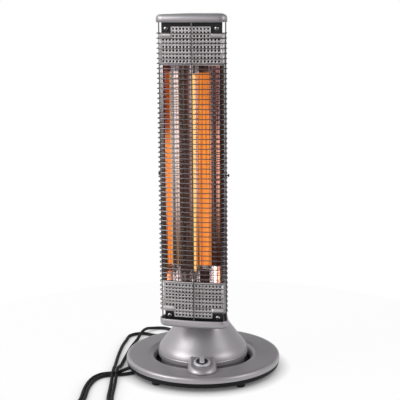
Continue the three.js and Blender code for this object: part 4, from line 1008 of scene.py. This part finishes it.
points, faces = at_lamp(turned([[8.5, 212.9], [8.5, 650.2], [7.2, 650.2], [7.2, 212.9]], 64,
                               closed=True))
make_piece("lamp_tube", points, faces[::-1], QUARTZ, "tower", "quartz", "quartz_tube")
strip = np.array([[-3.75, -0.25], [3.75, -0.25], [3.75, 0.25], [-3.75, 0.25]])
strip = rotated(strip, STRIP_TURN)
corners = np.vstack([np.column_stack([strip, np.full(4, z)]) for z in (STRIP_LOW, STRIP_HIGH)])
sides = [(0, 1, 5, 4), (1, 2, 6, 5), (2, 3, 7, 6), (3, 0, 4, 7), (3, 2, 1, 0), (4, 5, 6, 7)]
lamp_strip = make_piece("lamp_strip", *at_lamp((corners, sides)), GLOW_FRONT, "tower", "carbon",
                        "filament")
lamp_strip.data.materials.append(GLOW_BACK)
lamp_strip.data.polygons.foreach_set("material_index", [0, 1, 1, 1, 1, 1])
print("lamp strip", round(STRIP_HIGH - STRIP_LOW, 1), "mm long")

# %% [markdown]
# ### Lamp caps and springs
# A ribbed ceramic cap with a metallic glaze holds each end of the tube, and a small spring keeps
# the strip tight when it grows in the heat. The caps are turned, one of them upside down. Each
# spring is a tube along a helix, the path of a point that goes round four times while it rises.

# %% Lamp caps
cap_profile = [[0.01, 0], [8, 0], [10.2, 2.2], [10.4, 2.8]]
for rib in (5.0, 8.4, 11.8, 15.2):
    cap_profile += [[10.4, rib], [9.5, rib + 0.5], [9.5, rib + 1.2], [10.4, rib + 1.7]]
cap_profile += [[10.4, 23.6], [10, 24], [8.9, 24], [8.8, 23.6], [8.8, 10], [0.01, 10]]
points, faces = turned(cap_profile, 64)
for name, flip, z, node in (("lamp_cap_low", [1, 1, 1], 202.7, "lamp_cap_bottom"),
                            ("lamp_cap_high", [1, -1, -1], 660.7, "lamp_cap_top")):
    make_piece(name, *at_lamp((points * flip + [0, 0, z], faces)), GLAZE, "tower", "ceramic", node)
print("cap points", len(points))

# %% Filament springs
SPRING_R, SPRING_TURNS, SPRING_RISE, SPRING_WIRE_R = 3, 4, 15.4, 0.5
t = np.linspace(0, 1, SPRING_TURNS * 24 + 1)
for name, z, node in (("low_spring", 212.7, "filament_spring_bottom"),
                      ("high_spring", 633.7, "filament_spring_top")):
    turn_angle = t * 2 * SPRING_TURNS * math.pi
    coil = np.column_stack([SPRING_R * np.cos(turn_angle), SPRING_R * np.sin(turn_angle),
                            z + 0.8 + t * SPRING_RISE])
    make_piece(name, *at_lamp(tube(coil, SPRING_WIRE_R, 8)), STEEL, "tower", "steel", node)
print("spring turns", SPRING_TURNS)

# %% [markdown]
# ## The wire guard
# Fingers must not reach the lamp, so 58 wires run round the front, close together, and three
# upright stays are welded behind them. Each wire is a tube along the front part of the tower's
# outline. An Array modifier could repeat it, but one line of numpy does that as well and leaves a
# plain mesh.

# %% Wire guard
GUARD_INSET, GUARD_END_V, WIRE_R, STAY_R = 1.2, -70.0, 1.0, 1.3
WIRE_LOW, WIRE_PITCH, WIRE_COUNT = 151, 9.9, 58
front_line = arc_chain(tower_arcs(1), GUARD_INSET)
front_line = front_line[front_line[:, 1] < -79]
front_line = front_line[np.argsort(front_line[:, 0])]
end_u = side_u(GUARD_END_V, GUARD_INSET)
plan = np.vstack([[[-end_u, GUARD_END_V]], front_line, [[end_u, GUARD_END_V]]])
ring_points, ring_faces = tube(np.column_stack([plan, np.zeros(len(plan))]), WIRE_R, 8)
wires = [(ring_points + [0, 0, WIRE_LOW + k * WIRE_PITCH], ring_faces) for k in range(WIRE_COUNT)]
stay_side = side_u(-79.5, 3.2)
for u, v in ((stay_side, -79.5), (-stay_side, -79.5), (3.5, -100.7)):
    wires.append(tube([[u, v, 131.9], [u, v, 430], [u, v, 736.1]], STAY_R, 12))
points, faces = joined(wires)
make_piece("guard", to_tower(points), faces, WIRE, "tower", "wire", "wire_guard")
print("guard faces", len(faces))

# %% [markdown]
# ## The screws
# Four screws with cross recesses hold the brackets, and two more hold the guard's sides. The recess
# could be cut, but from this far away it is enough to let the head's height, a function over a
# disc, drop inside a cross. The recess also gets a black finish, a painted shade.

# %% Screws
def cross_screw(head_r, head_h):
    """A crown h (1 - (r / R) ^ 2.6) ^ 0.5 that drops near each of two crossing lines."""
    r = np.concatenate([np.linspace(0.02, 0.62, 12), np.linspace(0.68, 1, 8)]) * head_r
    rr, tt = np.meshgrid(r, angles(64), indexing="ij")
    x, y = rr * np.cos(tt), rr * np.sin(tt)
    crown = head_h * np.sqrt(np.clip(1 - (rr / head_r) ** 2.6, 0.0, 1))
    slot = (np.minimum(np.abs(x), np.abs(y)) < 0.16 * head_r) & (rr < 0.58 * head_r)
    crown = crown - np.where(slot, 0.55 * head_h, 0)
    points = np.stack([x, y, crown], -1).reshape(-1, 3)
    quads = grid_quads(len(r), 64, wrap=True)
    # faces in the recess, which get the black finish as a painted shade
    dark = slot.ravel()[quads].any(1)
    return points, [*map(tuple, quads), tuple(range(64))[::-1]], np.append(dark, True)


points, faces, dark = cross_screw(4.3, 2.2)
x, y, h = points.T
for end, z in (("top", 724.0), ("bottom", 136.3)):
    for side, u in (("right", 51.0), ("left", -51.0)):
        screw = make_piece(f"screw_{end}_{side}",
                           to_tower(np.stack([u + x, -86.4 - h, z + y], -1)), faces, STEEL,
                           "tower", "steel", f"bracket_screw_{end}_{side}")
        # The recess is black, a painted shade.
        screw.data.materials.append(BLACK_PAINT)
        screw.data.polygons.foreach_set("material_index", dark.astype(np.int32))
points, faces = turned([[0.01, 0], [1.6, 0], [1.6, 5.2], [3.3, 5.2], [3.2, 6.4], [2.4, 7.2],
                        [0.01, 7.4]], 32)
x, y, h = points.T
for side, sign in (("right", 1), ("left", -1)):
    place = np.stack([sign * (66.1 + h), -75.4 + x, 432.2 + y], -1)
    make_piece(f"screw_side_{side}", to_tower(place), faces, BLACK_PAINT, "tower", "steel",
               f"side_screw_{side}")
print("screws made")

# %% [markdown]
# ## The floor
# The heater stands on a white floor that melts into the background. More light would do that too,
# but it would bleach the paint. So the floor mostly shines white by itself for the camera, in gloss
# and through glass, and a little of its lit side stays. Ambient occlusion darkens it where the base
# and the cord lie close, which is the soft contact shadow.

# %% Floor
FLOOR_R, FLOOR_Z, FLOOR_SIDES = 0.7, -0.0005, 96
OWN_WHITE = 0.95


def either(tree, *rays):
    """1 where a light path is of any of the named kinds."""
    path = add_node(tree, "LightPath")
    result = path.outputs[rays[0]]
    for ray in rays[1:]:
        result = reckon(tree, "MAXIMUM", result, path.outputs[ray])
    return result


def white_floor():
    """A lit pale surface mixed with its own white, by OWN_WHITE for the rays that show it."""
    material, tree, shader = new_material("floor")
    tree.nodes.remove(shader)
    lit = add_node(tree, "BsdfDiffuse", {"Color": (0.9, 0.9, 0.9, 1)})
    near = add_node(tree, "AmbientOcclusion", {"Distance": 0.03})
    near.samples = 8
    own = add_node(tree, "Emission", {"Color": near.outputs["Color"], "Strength": 1.0})
    shown = either(tree, "Is Camera Ray", "Is Glossy Ray", "Is Transmission Ray")
    mix = add_node(tree, "MixShader", {0: reckon(tree, "MULTIPLY", shown, OWN_WHITE),
                                       1: lit.outputs[0], 2: own.outputs[0]})
    fill(tree, tree.nodes["Material Output"], {"Surface": mix.outputs[0]})
    return material


t = angles(FLOOR_SIDES)
floor_mesh = bpy.data.meshes.new("floor")
rim = np.column_stack([FLOOR_R * np.cos(t), FLOOR_R * np.sin(t), np.full(FLOOR_SIDES, FLOOR_Z)])
floor_mesh.from_pydata(rim.tolist(), [], [tuple(range(FLOOR_SIDES))])
floor_mesh.materials.append(white_floor())
floor = bpy.data.objects.new("floor", floor_mesh)
bpy.context.collection.objects.link(floor)
print("floor radius", FLOOR_R, "m")

# %% [markdown]
# ## The studio round the heater
# The camera sees plain white. Polished metal would turn white with it, but a trough in a real
# studio mirrors soft boxes with dark gaps between them. So gloss and glass see bright and dark
# bands round the heater, darker below, and a ceiling with a few lamps. What lights the matt
# surfaces is an even grey.

# %% Studio
SOFTBOXES = [(-180, 0.85, 0.85, 0.87), (-105, 0.8, 0.78, 0.8), (-82, 0.3, 0.22, 0.21),
             (-62, 0.10, 0.045, 0.038), (-31, 0.08, 0.035, 0.028), (-27, 1.25, 1.2, 1.28),
             (-14, 1.25, 1.2, 1.26), (-11.5, 0.42, 0.28, 0.25), (-3, 0.26, 0.14, 0.12),
             (1, 0.10, 0.05, 0.038), (24, 0.085, 0.042, 0.032), (48, 0.045, 0.022, 0.016),
             (57, 0.95, 0.88, 0.92), (78, 0.95, 0.9, 0.93), (88, 0.6, 0.55, 0.57),
             (180, 0.85, 0.85, 0.87)]
CEILING = [(0, 1.2), (0.3, 1.05), (0.43, 0.1), (0.6, 0.05), (0.76, 0.5), (1, 0.75)]
LOW_DARK, EVEN_GREY, WHITE = (0.065, 0.034, 0.028, 1), (0.40, 0.40, 0.41, 1), (1, 1, 1, 1)


def banded(tree, value, stops):
    """The colour of a ramp with a stop for each (position, colour), read at a value from 0 to 1."""
    node = add_node(tree, "ValToRGB", {"Fac": value})
    elements = node.color_ramp.elements
    while len(elements) < len(stops):
        elements.new(0.5)
    for element, (position, _) in zip(elements, stops):
        element.position = position
    for element, (_, colour) in zip(elements, stops):
        element.color = (*colour, 1)
    return node.outputs["Color"]


world = bpy.data.worlds.new("studio")
bpy.context.scene.world = world
world.use_nodes = True
tree = world.node_tree
where = add_node(tree, "TexCoord").outputs["Generated"]
x, y, z = add_node(tree, "SeparateXYZ", {0: where}).outputs
azimuth = reckon(tree, "ARCTAN2", x, reckon(tree, "MULTIPLY", y, -1))
boxes = banded(tree, spread(tree, azimuth, -math.pi, math.pi),
               [((degrees + 180) / 360, tint) for degrees, *tint in SOFTBOXES])
sides = blended(tree, spread(tree, z, -0.235, -0.17), LOW_DARK, boxes)
ceiling = banded(tree, spread(tree, x, -1, 1),
                 [(position, (level,) * 3) for position, level in CEILING])
studio = blended(tree, spread(tree, z, 0.2, 0.45), sides, ceiling)
shown = either(tree, "Is Glossy Ray", "Is Transmission Ray")
lighting = blended(tree, shown, EVEN_GREY, studio)
seen = blended(tree, either(tree, "Is Camera Ray"), lighting, WHITE)
fill(tree, tree.nodes["Background"], {"Color": seen, "Strength": 1.0})
print("soft boxes", len(SOFTBOXES))

# %% [markdown]
# ## The lamps
# Three soft lamps light the front: a key on the left, a weaker fill on the right and a faint one
# in the middle. Point lamps would give hard shadows. Large area lamps keep them soft, and the two
# big ones stand high at the sides, where the trough doesn't mirror them.

# %% Lamps
def soft_lamp(name, place, target, size, power):
    """A rectangular area lamp at a place, facing a target."""
    data = bpy.data.lights.new(name, "AREA")
    data.shape = "RECTANGLE"
    data.size, data.size_y = size
    data.energy = power
    lamp = bpy.data.objects.new(name, data)
    bpy.context.collection.objects.link(lamp)
    lamp.location = place
    lamp.rotation_euler = (Vector(target) - Vector(place)).to_track_quat("-Z", "Y").to_euler()


soft_lamp("key", (-1.75, -1.0, 1.2), (0, 0, 0.3), (1.4, 1.4), 36)
soft_lamp("fill", (1.75, -1.0, 1.15), (0, 0, 0.3), (1.1, 1.1), 14)
soft_lamp("front", (-0.5, -2.2, 0.9), (0, 0, 0.1), (0.5, 0.2), 2)
bpy.context.scene.view_settings.view_transform = "Standard"
print("stage ready")
